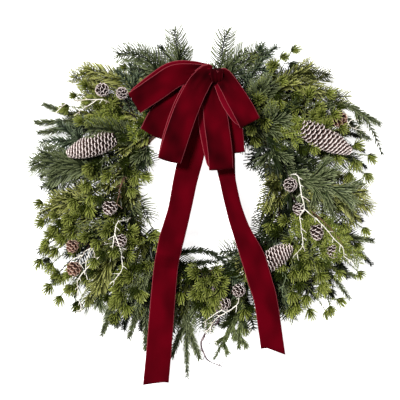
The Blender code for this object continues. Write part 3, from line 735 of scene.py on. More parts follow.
class Light(Enum):
    """Painted light of a shoot: glow darkens its needles as painted shade; rosettes is how many are made for
    it.
    """

    FULL = (1.0, 6)
    DIM = (0.2, 3)
    SHADED = (0.2, 0)

    def __init__(self, glow: float, rosettes: int) -> None:
        """Give both values a name."""
        self.glow = glow
        self.rosettes = rosettes


@dataclass
class NeedleMaker:
    """Makes the small bunches of needles that stand at each step of a stem."""

    habit: Habit
    variants: int = 6
    root_share: float = 0.56
    shaded_root_share: float = 0.9
    # How far a light's glow also holds back the paler tips: painted shade
    tip_glow: float = 0.8
    dark_tones: tuple = (0, 0.3)
    bright_tones: tuple = (0.45, 1.0)
    third_needle_share: float = 0.4
    round_needles: int = 5
    twig_leaves: int = 4
    rosette_needles: int = 30
    rosette_leans: tuple = (4, 70)
    rosette_curl: float = 0.3

    def __post_init__(self) -> None:
        """Make a few bunches for each light, the dim and shaded ones darkened as painted shade."""
        self.draw = Draw(self.habit.finish)
        self.whorls: dict[Light, list[Mesh]] = {}
        self.rosettes: dict[Light, list[Mesh]] = {}
        for light in Light:
            self.light = light
            self.whorls[light] = [self.make_whorl() for _ in range(self.variants)]
            if self.habit.rosette:
                self.rosettes[light] = [self.make_rosette() for _ in range(light.rosettes)]

    @staticmethod
    def new_form() -> Form:
        """Start a form.

        Returns:
            An empty form with the numbers that the finishes read.
        """
        bm = bmesh.new()
        for name in ("shade", "tip", "bark"):
            bm.verts.layers.float.new(name)
        return bm

    @staticmethod
    def way(around: float, lean: float) -> Vector:
        """A direction by its turn round the stem and its lean away from it, in degrees."""
        turn, out = math.radians(around), math.radians(lean)
        return Vector((math.cos(turn) * math.sin(out), math.sin(turn) * math.sin(out), math.cos(out)))

    def needle(self, bm: Form, way: Vector, root: Vector, length: float, blunt: float = 0.42,
               broad: float = 1.0, curl: float | None = None) -> None:
        """Add one needle, three-sided and thinner at its tip, that curls towards the stem's end.

        Args:
            bm: the bunch.
            way: its direction at the root.
            root: where it leaves the stem.
            length: its length.
            blunt: the tip's share of its width.
            broad: its share of the kind's width.
            curl: how far its tip turns, where that isn't the kind's own.
        """
        single = self.new_form()
        shade = single.verts.layers.float["shade"]
        tip = single.verts.layers.float["tip"]
        plain = self.light is Light.SHADED
        width = self.habit.width * broad * MM
        bottom = width * (self.shaded_root_share if plain else self.root_share)
        top = 0 if plain else width * blunt * self.root_share
        bmesh.ops.create_cone(single, cap_ends=True, cap_tris=False, segments=3, radius1=bottom,
                              radius2=top, depth=length, matrix=Matrix.Translation((0, 0, length / 2)))
        curl = self.habit.curl if curl is None else curl
        if plain:
            curl = 0
        if curl:
            walls = [edge for edge in single.edges
                     if abs(edge.verts[0].co.z - edge.verts[1].co.z) > length / 2]
            bmesh.ops.subdivide_edges(single, edges=walls, cuts=1, use_grid_fill=True)
        turn = UP.rotation_difference(way).to_matrix().to_4x4()
        spin = Matrix.Rotation(self.draw.uniform(0, math.tau), 4, "Z")
        place = Matrix.Translation(root) @ turn @ spin
        bend = UP - way * way.z
        tones = (self.draw.uniform(*self.dark_tones), self.draw.uniform(*self.bright_tones))
        tone = self.draw.choice(tones)
        for vert in single.verts:
            share = vert.co.z / length
            # Tone and tip paleness lowered by the light's glow: painted shade
            vert[shade] = tone * self.light.glow
            vert[tip] = share * mixed(1.0, self.light.glow, self.tip_glow)
            vert.co = place @ vert.co + bend * share * share * curl * length
        mesh = stored(single, "needle")
        bm.from_mesh(mesh)
        bpy.data.meshes.remove(mesh)

    def make_whorl(self) -> Mesh:
        """Make one step's needles, by the kind's growth.

        Returns:
            The bunch.
        """
        bm = self.new_form()
        if self.habit.growth is Growth.FLAT:
            self.fill_flat(bm)
        elif self.habit.growth is Growth.ROUND:
            self.fill_round(bm)
        else:
            self.fill_feather(bm)
        return stored(bm, "bunch")

    def fill_flat(self, bm: Form) -> None:
        """Add a level pair of long needles and a shorter one or two on top.

        Args:
            bm: the bunch.
        """
        habit, draw = self.habit, self.draw
        for side, sign in ((0, 1), (180, -1)):
            along = draw.uniform(0, 0.35) * habit.pitch * MM
            way = self.way(side + sign * draw.uniform(-8, 16), habit.lean + draw.uniform(-6, 6))
            length = habit.needle * draw.uniform(0.88, 1.06) * MM
            self.needle(bm, way, Vector((0, 0, along)), length, 0.8)
        raised = [draw.choice((draw.uniform(40, 78), draw.uniform(102, 140)))]
        if draw.random() < self.third_needle_share:
            raised.append(90 + draw.uniform(-30, 30))
        for around in raised:
            way = self.way(around, habit.lean - 14)
            along = draw.uniform(0.4, 0.7) * habit.pitch * MM
            self.needle(bm, way, Vector((0, 0, along)), habit.needle * 0.74 * MM, 0.6)

    def fill_round(self, bm: Form) -> None:
        """Add needles all round the stem, a few to each step.

        Args:
            bm: the bunch.
        """
        habit, draw = self.habit, self.draw
        for index in range(self.round_needles):
            along = (index / self.round_needles + draw.uniform(-0.06, 0.06)) * habit.pitch * MM
            way = self.way(index * GOLDEN_ANGLE + draw.uniform(-15, 15), habit.lean + draw.uniform(-8, 8))
            self.needle(bm, way, Vector((0, 0, along)), habit.needle * draw.uniform(0.8, 1.08) * MM)

    def fill_feather(self, bm: Form) -> None:
        """Add a small twig on each side, set with short scale leaves.

        Args:
            bm: the bunch.
        """
        habit, draw = self.habit, self.draw
        for side in (-1, 1):
            run = self.way(0 if side > 0 else 180, habit.lean + draw.uniform(-6, 6))
            reach = habit.needle * 2.1 * draw.uniform(0.8, 1.1) * MM
            start = Vector((0, 0, habit.pitch * (0.25 if side > 0 else 0.7) * MM))
            for index in range(self.twig_leaves):
                root = start + run * reach * index / self.twig_leaves
                out = Vector((0, 0.25, 0)) + run * 0.9 + Vector((side * 0.3, 0, 0.5 if index % 2 else -0.25))
                length = habit.needle * draw.uniform(0.85, 1.1) * MM
                self.needle(bm, out.normalized(), root, length, 0.2)

    def make_rosette(self) -> Mesh:
        """Make a brush of broad needles that opens from a stem's end.

        Returns:
            The bunch.
        """
        bm = self.new_form()
        habit, draw = self.habit, self.draw
        for index in range(self.rosette_needles):
            share = (index + 0.5) / self.rosette_needles
            lean = mixed(*self.rosette_leans, share ** 0.6)
            way = self.way(index * GOLDEN_ANGLE, lean + draw.uniform(-7, 7))
            root = Vector((0, 0, -5 * MM * share))
            length = habit.rosette * mixed(1.05, 0.9, share) * draw.uniform(0.88, 1.08) * MM
            self.needle(bm, way, root, length, 0.36, 1.6, self.rosette_curl)
        return stored(bm, "bunch")


@dataclass(frozen=True)
class Spray:
    """One bunch of greenery: a main shoot tied to the ring and the shoots off it.

    root is the ring angle in degrees and seat the angle round the vine, 0 outwards
    and 90 on top. tip is (across, up, high). bend bows the main shoot to its left.
    forks are (share along the main shoot, across, up, high).
    """

    name: str
    kind: Kind
    root: float
    tip: tuple
    seat: float = 25.0
    bend: float = 0.0
    forks: tuple = ()


SPRAYS = (
    Spray("fir_top", Kind.FIR, 105, (-66, 334, 34), bend=-8,
          forks=((0.5, -48, 296, 40), (0.45, -92, 300, 40))),
    Spray("fir_top_left", Kind.FIR, 105, (-190, 272, 34), bend=-92, forks=((0.35, -150, 244, 46),)),
    Spray("olive_left_top", Kind.OLIVE, 139, (-272, 236, 32),
          forks=((0.45, -246, 258, 40), (0.5, -258, 200, 34))),
    Spray("rope_left_top", Kind.ROPE, 146, (-322, 178, 30), bend=26,
          forks=((0.5, -337, 143, 28), (0.45, -332, 122, 26))),
    Spray("blue_left", Kind.BLUE, 158, (-325, 104, 48), seat=45, forks=((0.5, -292, 140, 52),)),
    Spray("fir_left", Kind.FIR, 170, (-356, 50, 24), forks=((0.5, -344, 78, 28), (0.42, -322, 12, 24))),
    Spray("olive_left", Kind.OLIVE, 184, (-340, -46, 44), seat=45,
          forks=((0.45, -312, -8, 48), (0.5, -304, -76, 40))),
    Spray("tuft_left", Kind.TUFT, 195, (-332, -134, 40),
          forks=((0.78, -316, -108, 48), (0.6, -308, -80, 52), (0.42, -275, -50, 56))),
    Spray("tuft_left_low", Kind.TUFT, 206, (-292, -208, 34),
          forks=((0.7, -312, -184, 38), (0.55, -270, -186, 50), (0.8, -258, -222, 40))),
    Spray("juniper_left_low", Kind.JUNIPER, 216, (-236, -222, 26), forks=((0.45, -214, -216, 34),)),
    Spray("rope_left_bottom", Kind.ROPE, 226, (-204, -274, 26), forks=((0.5, -178, -262, 32),)),
    Spray("rope_bottom_left", Kind.ROPE, 238, (-150, -280, 44), seat=45, forks=((0.35, -121, -308, 40),)),
    Spray("tuft_bottom_left", Kind.TUFT, 231, (-181, -246, 72), seat=80,
          forks=((0.55, -196, -204, 76), (0.75, -160, -226, 78))),
    Spray("rope_bottom", Kind.ROPE, 258, (-38, -362, 30),
          forks=((0.45, -68, -322, 34), (0.5, -14, -326, 36))),
    Spray("cypress_bottom", Kind.CEDAR, 296, (18, -326, 44), bend=24,
          forks=((0.4, 66, -304, 40), (0.5, 40, -288, 52))),
    Spray("cypress_bottom_right", Kind.CYPRESS, 303, (172, -248, 30),
          forks=((0.45, 118, -268, 34), (0.5, 200, -214, 36))),
    Spray("tuft_right_low", Kind.TUFT, 317, (240, -236, 44), seat=50,
          forks=((0.4, 190, -156, 58), (0.6, 180, -222, 52), (0.6, 232, -182, 60), (0.8, 266, -212, 50))),
    Spray("rope_right_drop", Kind.ROPE, 330, (284, -206, 26), forks=((0.5, 296, -164, 24),)),
    Spray("rope_right_low", Kind.ROPE, 342, (328, -138, 34), forks=((0.5, 330, -92, 30),)),
    Spray("tuft_right", Kind.TUFT, 351, (316, -71, 58), seat=50,
          forks=((0.5, 262, -22, 64), (0.6, 272, -84, 66))),
    Spray("olive_right", Kind.OLIVE, 1, (332, -36, 26), forks=((0.45, 322, 2, 28), (0.5, 300, -62, 30))),
    Spray("tuft_right_top", Kind.TUFT, 16, (327, 75, 48), seat=45,
          forks=((0.7, 300, 98, 54), (0.6, 321, 37, 44), (0.4, 260, 100, 62))),
    Spray("blue_right", Kind.SPRUCE, 36, (350, 84, 36), bend=150,
          forks=((0.62, 344, 142, 40), (0.5, 322, 112, 44))),
    Spray("olive_right_top", Kind.OLIVE, 43, (252, 234, 30), bend=26,
          forks=((0.5, 288, 194, 30), (0.5, 206, 262, 34))),
    Spray("tuft_top_right", Kind.TUFT, 54, (174, 288, 44), seat=50,
          forks=((0.45, 111, 197, 62), (0.4, 177, 197, 66), (0.7, 134, 258, 56), (0.75, 206, 236, 52))),
    Spray("blue_top_right", Kind.BLUE, 68, (138, 292, 34), bend=20, forks=((0.6, 112, 296, 30),)),
    Spray("fir_top_right", Kind.FIR, 79, (46, 332, 30), bend=22,
          forks=((0.3, 110, 292, 38), (0.42, 84, 290, 34))),
    Spray("fir_inner_right", Kind.NIGHT, 38, (90, 62, 22), seat=150, forks=((0.35, 122, 40, 24),)),
    Spray("olive_inner_right", Kind.OLIVE, 357, (106, -70, 24), seat=150, bend=-18),
    Spray("rope_inner_bottom", Kind.ROPE, 240, (38, -138, 50), seat=120, bend=26),
    Spray("fir_inner_left", Kind.FIR, 152, (-104, 54, 26), seat=150),
    Spray("cypress_crown_left", Kind.CYPRESS, 146, (-226, 146, 74), seat=75, forks=((0.5, -196, 176, 72),)),
    Spray("juniper_crown_right", Kind.JUNIPER, 13, (250, -36, 84), seat=75, bend=22,
          forks=((0.5, 236, 60, 74),)),
    Spray("cypress_crown_right", Kind.CYPRESS, 346, (302, -134, 68), seat=75, bend=14,
          forks=((0.5, 246, -134, 78),)),
)
KIND_LETTERS = {"F": Kind.FIR, "O": Kind.OLIVE, "B": Kind.BLUE, "R": Kind.ROPE, "T": Kind.TUFT,
                "C": Kind.CYPRESS, "J": Kind.JUNIPER}
NO_SHOOT = "."
SECTOR = 15
# The greenery's outer edge in the middle of each sector, and the hole's edge
OUTER_EDGE = (318, 325, 328, 308, 296, 258, 240, 280, 330, 330, 334, 330,
              338, 336, 320, 306, 296, 276, 256, 280, 296, 316, 324, 318)
INNER_EDGE = 122


@dataclass(frozen=True)
class Belt:
    """Short leafy shoots side by side all round the ring.

    share is 0 at the hole's edge and 1 at the outer edge; height and size, the length
    of the leafy part, are in millimetres; kinds has one letter for each sector,
    counter-clockwise from the right, and a dot where there is no shoot. A shaded belt
    lies low, under the others, and its needles are darkened as painted shade.
    """

    name: str
    share: float
    height: float
    count: int
    size: float
    seat: float
    kinds: str
    shaded: bool = False


BELTS = (
    Belt("low_outer", 0.84, 15, 52, 74, 10, "FRBFFFFFOOBFFTFRRRFFFFRR", True),
    Belt("low_middle", 0.62, 24, 50, 78, 40, "BFBFBFFFFBFFBFBFFFFBFBFB", True),
    Belt("low_crown", 0.38, 36, 46, 76, 90, "FBFBFFFBFBFBFFBFFBFFBFFB", True),
    Belt("low_inner", 0.16, 34, 32, 60, 130, "F..FFFFF...BFOBFR..FFFFF", True),
    Belt("hole_edge", 0.02, 24, 26, 48, 160, "F..FFFFF.....OBR...FFFFF"),
    Belt("outer", 0.8, 34, 54, 76, 50, "OBBOTFFFOOBFOTTJRFCTTRTO"),
    Belt("middle", 0.56, 46, 46, 74, 80, "JJTBTFFBBCTTTORTBFFTFTRC"),
    Belt("crown", 0.3, 56, 34, 70, 95, "JFJFBFFBCCTOOTOTTTTBBTTJ"),
    Belt("inner", 0.14, 44, 30, 56, 120, "O..TFFFF..TROOTTTRTFFFOO"),
)
# Kinds that a share of the belts' shoots take instead of their sector's own
STRAYS = (Kind.FIR, Kind.BLUE, Kind.ROPE, Kind.FIR, Kind.OLIVE, Kind.TUFT)
STRAY_SHARE = 0.3
ACCENTS = (
    Spray("cypress_accent_right", Kind.CYPRESS, 42, (208, 124, 88), seat=88, forks=((0.6, 182, 150, 86),)),
    Spray("fir_over_cone_left", Kind.FIR, 140, (-238, 128, 86), seat=85),
    Spray("blue_dark_upper_left", Kind.BLUE, 127, (-176, 244, 62), seat=75, forks=((0.5, -150, 256, 60),)),
    Spray("olive_hanging_left", Kind.OLIVE, 206, (-238, -216, 66), seat=80, forks=((0.6, -216, -200, 70),)),
    Spray("rope_hanging_left_first", Kind.ROPE, 226, (-151, -208, 66), seat=80),
    Spray("rope_hanging_left_second", Kind.ROPE, 230, (-131, -204, 64), seat=80),
    Spray("rope_over_left_bottom", Kind.ROPE, 219, (-207, -278, 58), seat=75, bend=8),
    Spray("rope_over_bottom_left", Kind.ROPE, 231, (-153, -284, 60), seat=75, bend=6),
    Spray("fir_dark_left", Kind.NIGHT, 202, (-286, -124, 48), seat=60, forks=((0.5, -262, -150, 50),)),
    Spray("fir_dark_right_hole", Kind.NIGHT, 48, (130, 30, 60), seat=95, forks=((0.3, 96, 56, 54),)),
    Spray("fir_dark_low_right", Kind.FIR, 312, (168, -236, 40), seat=60),
    Spray("fir_dark_right_crown", Kind.FIR, 58, (108, 220, 80), seat=80, forks=((0.5, 134, 228, 76),)),
    Spray("juniper_upper_right", Kind.JUNIPER, 50, (152, 148, 88), seat=85,
          forks=((0.4, 122, 156, 84), (0.5, 172, 176, 84))),
    Spray("olive_over_right_top", Kind.OLIVE, 60, (252, 232, 62), seat=60, bend=56,
          forks=((0.55, 236, 204, 64), (0.45, 216, 262, 60))),
    Spray("olive_over_left_top", Kind.OLIVE, 121, (-272, 228, 52), seat=60, bend=-66,
          forks=((0.55, -248, 252, 50),)),
    Spray("fir_over_top_left", Kind.FIR, 109, (-190, 276, 56), seat=60, bend=-80,
          forks=((0.5, -146, 250, 56),)),
    Spray("juniper_over_ring", Kind.JUNIPER, 37, (142, 52, 82), seat=95, forks=((0.4, 160, 72, 84),)),
    Spray("juniper_under_bow", Kind.JUNIPER, 141, (-114, 72, 70), seat=115, forks=((0.4, -126, 58, 66),)),
    Spray("fir_over_left", Kind.FIR, 166, (-352, 60, 56), seat=50, bend=16,
          forks=((0.5, -336, 86, 54), (0.45, -316, 34, 58))),
    Spray("cypress_band_right", Kind.CYPRESS, 344, (302, -136, 88), seat=85, bend=10,
          forks=((0.4, 262, -74, 94), (0.7, 282, -112, 92))),
    Spray("olive_over_right", Kind.OLIVE, 2, (336, -30, 70), seat=70,
          forks=((0.5, 326, 6, 74), (0.55, 304, -44, 76))),
    Spray("olive_over_inner_right", Kind.OLIVE, 12, (116, -34, 74), seat=100, bend=-14,
          forks=((0.35, 132, 12, 78),)),
    Spray("juniper_right", Kind.JUNIPER, 8, (286, -20, 88), seat=80, bend=16,
          forks=((0.4, 252, 44, 84), (0.7, 300, 20, 78))),
)


@dataclass(frozen=True)
class TuftStem:
    """A thin branching stem of tufts with no solid of its own: ring angle and tuft places."""

    name: str
    root: float
    tufts: tuple

    def spray(self) -> Spray:
        """Lead the stem to its furthest tuft, with a fork to each of the others.

        Returns:
            The stem as a spray.
        """
        first, *others = sorted(self.tufts, key=lambda place: Vector(place[:2]).length, reverse=True)
        forks = tuple((mixed(0.3, 0.72, index / len(self.tufts)), *place)
                      for index, place in enumerate(others))
        return Spray(self.name, Kind.TUFT, self.root, first, seat=80, forks=forks)


TUFT_STEMS = (
    TuftStem("tufts_left", 176, ((-273, -48, 62), (-248, 144, 66), (-171, 110, 74), (-236, 20, 70),
             (-212, -8, 74), (-262, -14, 60))),
    TuftStem("tufts_inner_left", 172, ((-144, 82, 60), (-125, 36, 58), (-150, 8, 64), (-196, 36, 72))),
    TuftStem("tufts_lower_left", 212, ((-269, -186, 56), (-255, -218, 46), (-108, -85, 66),
             (-150, -74, 70), (-204, -112, 72), (-222, -150, 66))),
    TuftStem("tufts_far_left", 198, ((-326, -56, 44), (-318, -94, 44), (-330, -18, 40), (-302, -68, 52),
             (-300, -112, 48), (-286, -90, 58))),
    TuftStem("tufts_upper_left", 138, ((-262, 196, 60), (-240, 216, 62), (-278, 174, 56), (-228, 186, 72))),
    TuftStem("tufts_bottom_left", 236, ((-178, -208, 80), (-181, -243, 74), (-140, -190, 72),
             (-168, -168, 74))),
    TuftStem("tufts_over_left", 205, ((-204, -118, 104), (-222, -132, 104), (-184, -114, 98),
             (-216, -96, 100), (-238, -84, 92))),
    TuftStem("tufts_ring_bottom", 266, ((-2, -152, 66), (20, -150, 62), (38, -158, 62), (56, -160, 66),
             (-20, -150, 60))),
    TuftStem("tufts_over_twig", 274, ((14, -208, 98), (2, -228, 90), (4, -192, 96), (28, -190, 92),
             (14, -170, 100), (-14, -216, 84))),
    TuftStem("tufts_bottom", 272, ((-3, -175, 82), (33, -173, 82), (-10, -200, 78), (8, -226, 72),
             (-20, -160, 70))),
    TuftStem("tufts_right_low", 322, ((234, -180, 66), (228, -138, 74), (232, -113, 76), (187, -181, 66),
             (194, -154, 74), (173, -200, 62), (230, -162, 72), (171, -230, 56))),
    TuftStem("tufts_lower_right", 334, ((159, -53, 72), (141, -78, 62), (165, -95, 68), (264, -156, 60),
             (306, -158, 54), (229, -187, 62))),
    TuftStem("tufts_right_top", 22, ((240, 141, 70), (222, 172, 70), (205, 197, 70), (243, 200, 64),
             (182, 172, 74), (262, 170, 62), (254, 158, 96), (270, 132, 92))),
    TuftStem("tufts_beside_bow", 56, ((92, 132, 84), (104, 188, 86), (98, 162, 88), (116, 146, 84),
             (126, 176, 84))),
    TuftStem("tufts_top_right", 58, ((134, 254, 60), (152, 274, 56), (111, 197, 70), (177, 197, 74),
             (150, 226, 70))),
)


@dataclass(frozen=True)
class Rank:
    """Shares that a shoot gets by its rank.

    stem is of the kind's stem radius, bare of the shoot for its part without needles,
    twig_start where its twigs begin, and twig_size of their full length.
    """

    stem: float
    bare: float
    twig_start: float
    twig_size: float


MAIN_SHOOT = Rank(1.0, 0.16, 0.22, 1.0)
SIDE_SHOOT = Rank(0.75, 0.05, 0.16, 0.72)


def seat_on_ring(angle: float, seat: float) -> tuple[Vector, Vector]:
    """Find where a stem is tied on.

    Args:
        angle: the ring angle in degrees.
        seat: the angle round the vine, 0 outwards and 90 on top.

    Returns:
        A point in the vine and the direction out of it.
    """
    outward = polar(angle, 1.0)
    middle = outward * RING_RADIUS + UP * RING_TUBE
    away = outward * math.cos(math.radians(seat)) + UP * math.sin(math.radians(seat))
    return middle + away * RING_TUBE * 0.7, away


@dataclass
class Plant:
    """Greenery of one kind as it grows into one piece."""

    maker: NeedleMaker
    draw: Draw
    # A shaded plant takes the darkest needle bunches: painted shade
    shaded: bool = False
    sag: float = 0.16
    floor_bend: float = 4 * MM
    lowest_tip: float = 5 * MM
    # Low shoots inside the ring take the dim needles more often: painted shade
    dim_shares: tuple = (0.1, 0.5)
    deep_height: float = 66 * MM
    deep_reach: float = 275 * MM
    stem_sides: int = 5
    stem_end: float = 0.6 * MM
    twig_bare: float = 0.04
    round_turn: float = GOLDEN_TURN * 2.3
    last_whorl: tuple = (0.4, 0.4, 0.95, 1)

    def __post_init__(self) -> None:
        """Start with an empty form."""
        self.habit = self.maker.habit
        self.bm = NeedleMaker.new_form()

    def branch_path(self, parent: Path, share: float, tip: Vector) -> Path:
        """Lay a side shoot's curve.

        Args:
            parent: the points of the shoot that it leaves.
            share: where it leaves it.
            tip: where it ends.

        Returns:
            The curve's points.
        """
        index = inner_point(parent, share)
        start = parent[index]
        forward = (parent[index + 1] - start).normalized()
        reach = (tip - start).length
        middle = start + (forward * 0.55 + (tip - start).normalized() * 0.45) * reach * 0.4
        count = max(3, round(reach / (self.habit.pitch * MM)))
        return bezier(start, middle, start.lerp(tip, 0.7), tip, count)

    def add_twigs(self, parent: Path, start: float, size: float, stem: float) -> None:
        """Add short twigs that leave a shoot in turn to its left and right.

        Args:
            parent: the shoot's points.
            start: the share of the shoot where they begin.
            size: their share of the kind's full length.
            stem: their radius at the root.
        """
        habit, draw = self.habit, self.draw
        total = length_of(parent)
        first = total * start
        last = (total - habit.twig * 0.35 * MM) * habit.twig_end
        count = max(0, int((last - first) / (habit.twig_gap * MM)))
        paths = []
        for index in range(count):
            share = (first + habit.twig_gap * MM * (index + draw.uniform(0.1, 0.6))) / total
            spot = inner_point(parent, share)
            forward = heading(parent, spot)
            side = UP.cross(forward).normalized() * (1 if index % 2 else -1)
            lean = math.radians(habit.twig_lean + draw.uniform(-8, 8))
            reach = habit.twig * size * mixed(1.15, 0.55, share) * draw.uniform(0.85, 1.1) * MM
            rise = UP * draw.uniform(-0.16, 0.34)
            way = forward * math.cos(lean) + side * math.sin(lean) + rise
            tip = parent[spot] + way.normalized() * reach - Vector((0, reach * self.sag, 0))
            tip.z = max(tip.z, self.lowest_tip)
            paths.append(self.branch_path(parent, share, tip))
        for path in paths:
            self.clothe(path, self.twig_bare, stem)

    def clothe(self, path: Path, bare: float, stem: float) -> None:
        """Add a stem and the needles along it.

        Args:
            path: the stem's points, a whorl's pitch apart.
            bare: the share of the stem, from its root, that has no needles.
            stem: the stem's radius at its root.
        """
        habit, draw = self.habit, self.draw
        # Deep shoots are more often dimmed, and shaded plants always: painted shade
        deep = path[-1].z < self.deep_height and path[-1].xy.length < self.deep_reach
        light = Light.DIM if draw.random() < self.dim_shares[deep] else Light.FULL
        whorls = self.maker.whorls[Light.SHADED if self.shaded else light]
        flat = habit.growth is Growth.FLAT
        if flat and len(path) > 10:
            path = path[:-3]
        frames = frames_along(path, level_side(path))
        bark = self.bm.verts.layers.float["bark"]
        radii = tapered(len(path), stem, min(stem, self.stem_end))
        for vert in add_tube(self.bm, frames, radii, self.stem_sides):
            vert[bark] = 1.0
        first = max(1, round(bare * (len(path) - 1)))
        for index in range(first, len(path) - (1 if habit.rosette else 0)):
            if habit.rosette and index < len(path) - 4 and index % 2:
                continue
            spiral = habit.growth is Growth.ROUND
            turn = index * self.round_turn if spiral else draw.uniform(-0.15, 0.15)
            near_tip = 1 - 0.28 * (index / (len(path) - 1)) ** 5
            place = frames[index] @ Matrix.Rotation(turn, 4, "Z") @ Matrix.Diagonal((near_tip,) * 3 + (1,))
            copy_in(self.bm, draw.choice(whorls), place)
        if flat:
            copy_in(self.bm, draw.choice(whorls), frames[-1] @ Matrix.Diagonal(self.last_whorl))
        if habit.rosette:
            self.add_rosette(path, light)

    def add_rosette(self, path: Path, light: Light) -> None:
        """Add a star of needles at a tuft's end, turned up towards the front.

        Args:
            path: the stem's points.
            light: how much painted shade its needles carry.
        """
        draw = self.draw
        forward = (path[-1] - path[-2]).normalized()
        lift = UP * draw.uniform(0.35, 1.0) - Vector((0, draw.uniform(0.3, 0.9), 0))
        turn = UP.rotation_difference((forward + lift).normalized()).to_matrix().to_4x4()
        size = draw.uniform(0.88, 1.12)
        place = Matrix.Translation(path[-1]) @ turn @ Matrix.Rotation(draw.uniform(0, math.tau), 4, "Z")
        rosette = draw.choice(self.maker.rosettes[light])
        copy_in(self.bm, rosette, place @ Matrix.Diagonal((size, size, size, 1)))

    def grown(self) -> Form:
        """Bend what would pass through the surface along it.

        Returns:
            The finished form.
        """
        for vert in self.bm.verts:
            if vert.co.z < self.floor_bend:
                vert.co.z = self.floor_bend * math.exp(vert.co.z / self.floor_bend - 1)
        return self.bm


@dataclass
class Greenery:
    """Grows every spray of the wreath round the vine."""

    bench: Bench
    main_sag: float = 0.16
    flow_sag: float = 0.78
    tip_rise: float = 6 * MM
    same_place: float = 9 * MM
    twig_stem: float = 0.8 * MM
    belt_twig_stem: float = 0.7 * MM
    belt_shrink: float = 0.8

    def __post_init__(self) -> None:
        """Start with no needles made."""
        self.makers: dict[Kind, NeedleMaker] = {}

    def plant(self, kind: Kind, draw: Draw, shaded: bool = False) -> Plant:
        """Start a plant, with the needles of its kind made once for all.

        Args:
            kind: the greenery.
            draw: a seeded draw.
            shaded: whether it lies under other greenery, darkened as painted shade.

        Returns:
            The plant.
        """
        if kind not in self.makers:
            self.makers[kind] = NeedleMaker(kind.habit)
        return Plant(self.makers[kind], draw, shaded)

    def settled(self, node: str | None, place: tuple | list) -> Vector:
        """Move a tip to the height that its solid node has there.

        Args:
            node: the solid's name, or None for a spray that has none.
            place: the tip's place in the table.

        Returns:
            The tip, with its height corrected where the node reaches it.
        """
        tip = millimetres(*place)
        if node is None:
            return tip
        points = [vert.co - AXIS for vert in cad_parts[node].data.vertices]
        near = [point.z for point in points if (point.xy - tip.xy).length < self.same_place]
        if near:
            tip.z = sum(near) / len(near)
        return tip

    @staticmethod
    def droop(rise: float) -> float:
        """How far shoots sag, by how far up the ring they start: not at all at its very top."""
        return 1 - max(0.0, rise) ** 9

    def flow(self, angle: float, share: float) -> Vector:
        """Find the way that shoots run.

        Args:
            angle: their place round the ring in degrees.
            share: 0 at the hole's edge and 1 at the outer edge.

        Returns:
            Outwards and sagging down the picture, or round the hole.
        """
        outward = polar(angle, 1.0)
        if share > 0.15:
            sag = self.flow_sag * self.droop(outward.y)
            return (outward * mixed(0.35, 1.0, share) - Vector((0, sag, 0))).normalized()
        along = UP.cross(outward)
        if outward.x > 0:
            along = -along
        return (along - outward * 0.25).normalized()

    def main_path(self, spray: Spray, tip: Vector) -> Path:
        """Lay the main shoot's curve from its seat on the vine.

        Args:
            spray: its table row.
            tip: where it ends.

        Returns:
            The curve's points, about a whorl's pitch apart.
        """
        start, away = seat_on_ring(spray.root, spray.seat)
        run = tip - start
        reach = run.length
        run.z = 0
        side = UP.cross(run.normalized())
        sag = self.main_sag * self.droop(math.sin(math.radians(spray.root)))
        second = start.lerp(tip, 0.66) + side * spray.bend * MM + Vector((0, sag * reach, 0))
        second.z = tip.z + self.tip_rise
        count = max(4, round(reach * 1.05 / (spray.kind.habit.pitch * MM)))
        return bezier(start, start + away * reach * 0.3, second, tip, count)

    def grow(self, spray: Spray, has_node: bool = True) -> None:
        """Make one spray as one piece.

        Args:
            spray: its table row.
            has_node: whether it replaces a solid node.
        """
        plant = self.plant(spray.kind, Draw(spray.name))
        habit = plant.habit
        node = spray.name if has_node else None
        main = self.main_path(spray, self.settled(node, spray.tip))
        limbs = [(main, MAIN_SHOOT)]
        for share, *place in spray.forks:
            limbs.append((plant.branch_path(main, share, self.settled(node, place)), SIDE_SHOOT))
        for limb, rank in limbs:
            size = 1.0 if habit.rosette else rank.twig_size
            plant.clothe(limb, rank.bare, habit.stem * MM * rank.stem)
            plant.add_twigs(limb, rank.twig_start, size, self.twig_stem)
        self.bench.named_piece(spray.name, plant.grown(), (habit.finish,), habit.slot, has_node)

    def add_shoot(self, plant: Plant, belt: Belt, angle: float) -> None:
        """Add one shoot of a belt, with its twigs.

        Args:
            plant: the belt's plant of its kind.
            belt: the belt's table row.
            angle: its place round the ring in degrees.
        """
        habit, draw = plant.habit, plant.draw
        marks = [SECTOR * (index + 0.5) for index in range(len(OUTER_EDGE))]
        edge = read_off(marks, list(OUTER_EDGE), angle)
        reach = mixed(INNER_EDGE, edge, belt.share + draw.uniform(-0.05, 0.05)) * MM
        size = belt.size * draw.uniform(0.85, 1.15) * MM
        way = self.flow(angle + draw.uniform(-14, 14), belt.share)
        spot = polar(angle, reach, (belt.height + draw.uniform(-5, 7)) * MM)
        tip = spot + way * size * 0.5
        tip.z = max(tip.z - draw.uniform(-3, 6) * MM, 6 * MM)
        base = spot - way * size * 0.5
        start, away = seat_on_ring(math.degrees(math.atan2(base.y, base.x)), belt.seat)
        reach = (tip - start).length
        curve = [start, start + away * reach * 0.3, tip - way * size * 0.8 + UP * 4 * MM, tip]
        count = max(4, round(length_of(bezier(*curve, 12)) / (habit.pitch * MM)))
        path = bezier(*curve, count)
        bare = max(0.06, 1 - size / length_of(path))
        plant.clothe(path, bare, habit.stem * self.belt_shrink * MM)
        plant.add_twigs(path, min(bare + 0.04, 0.8), self.belt_shrink, self.belt_twig_stem)

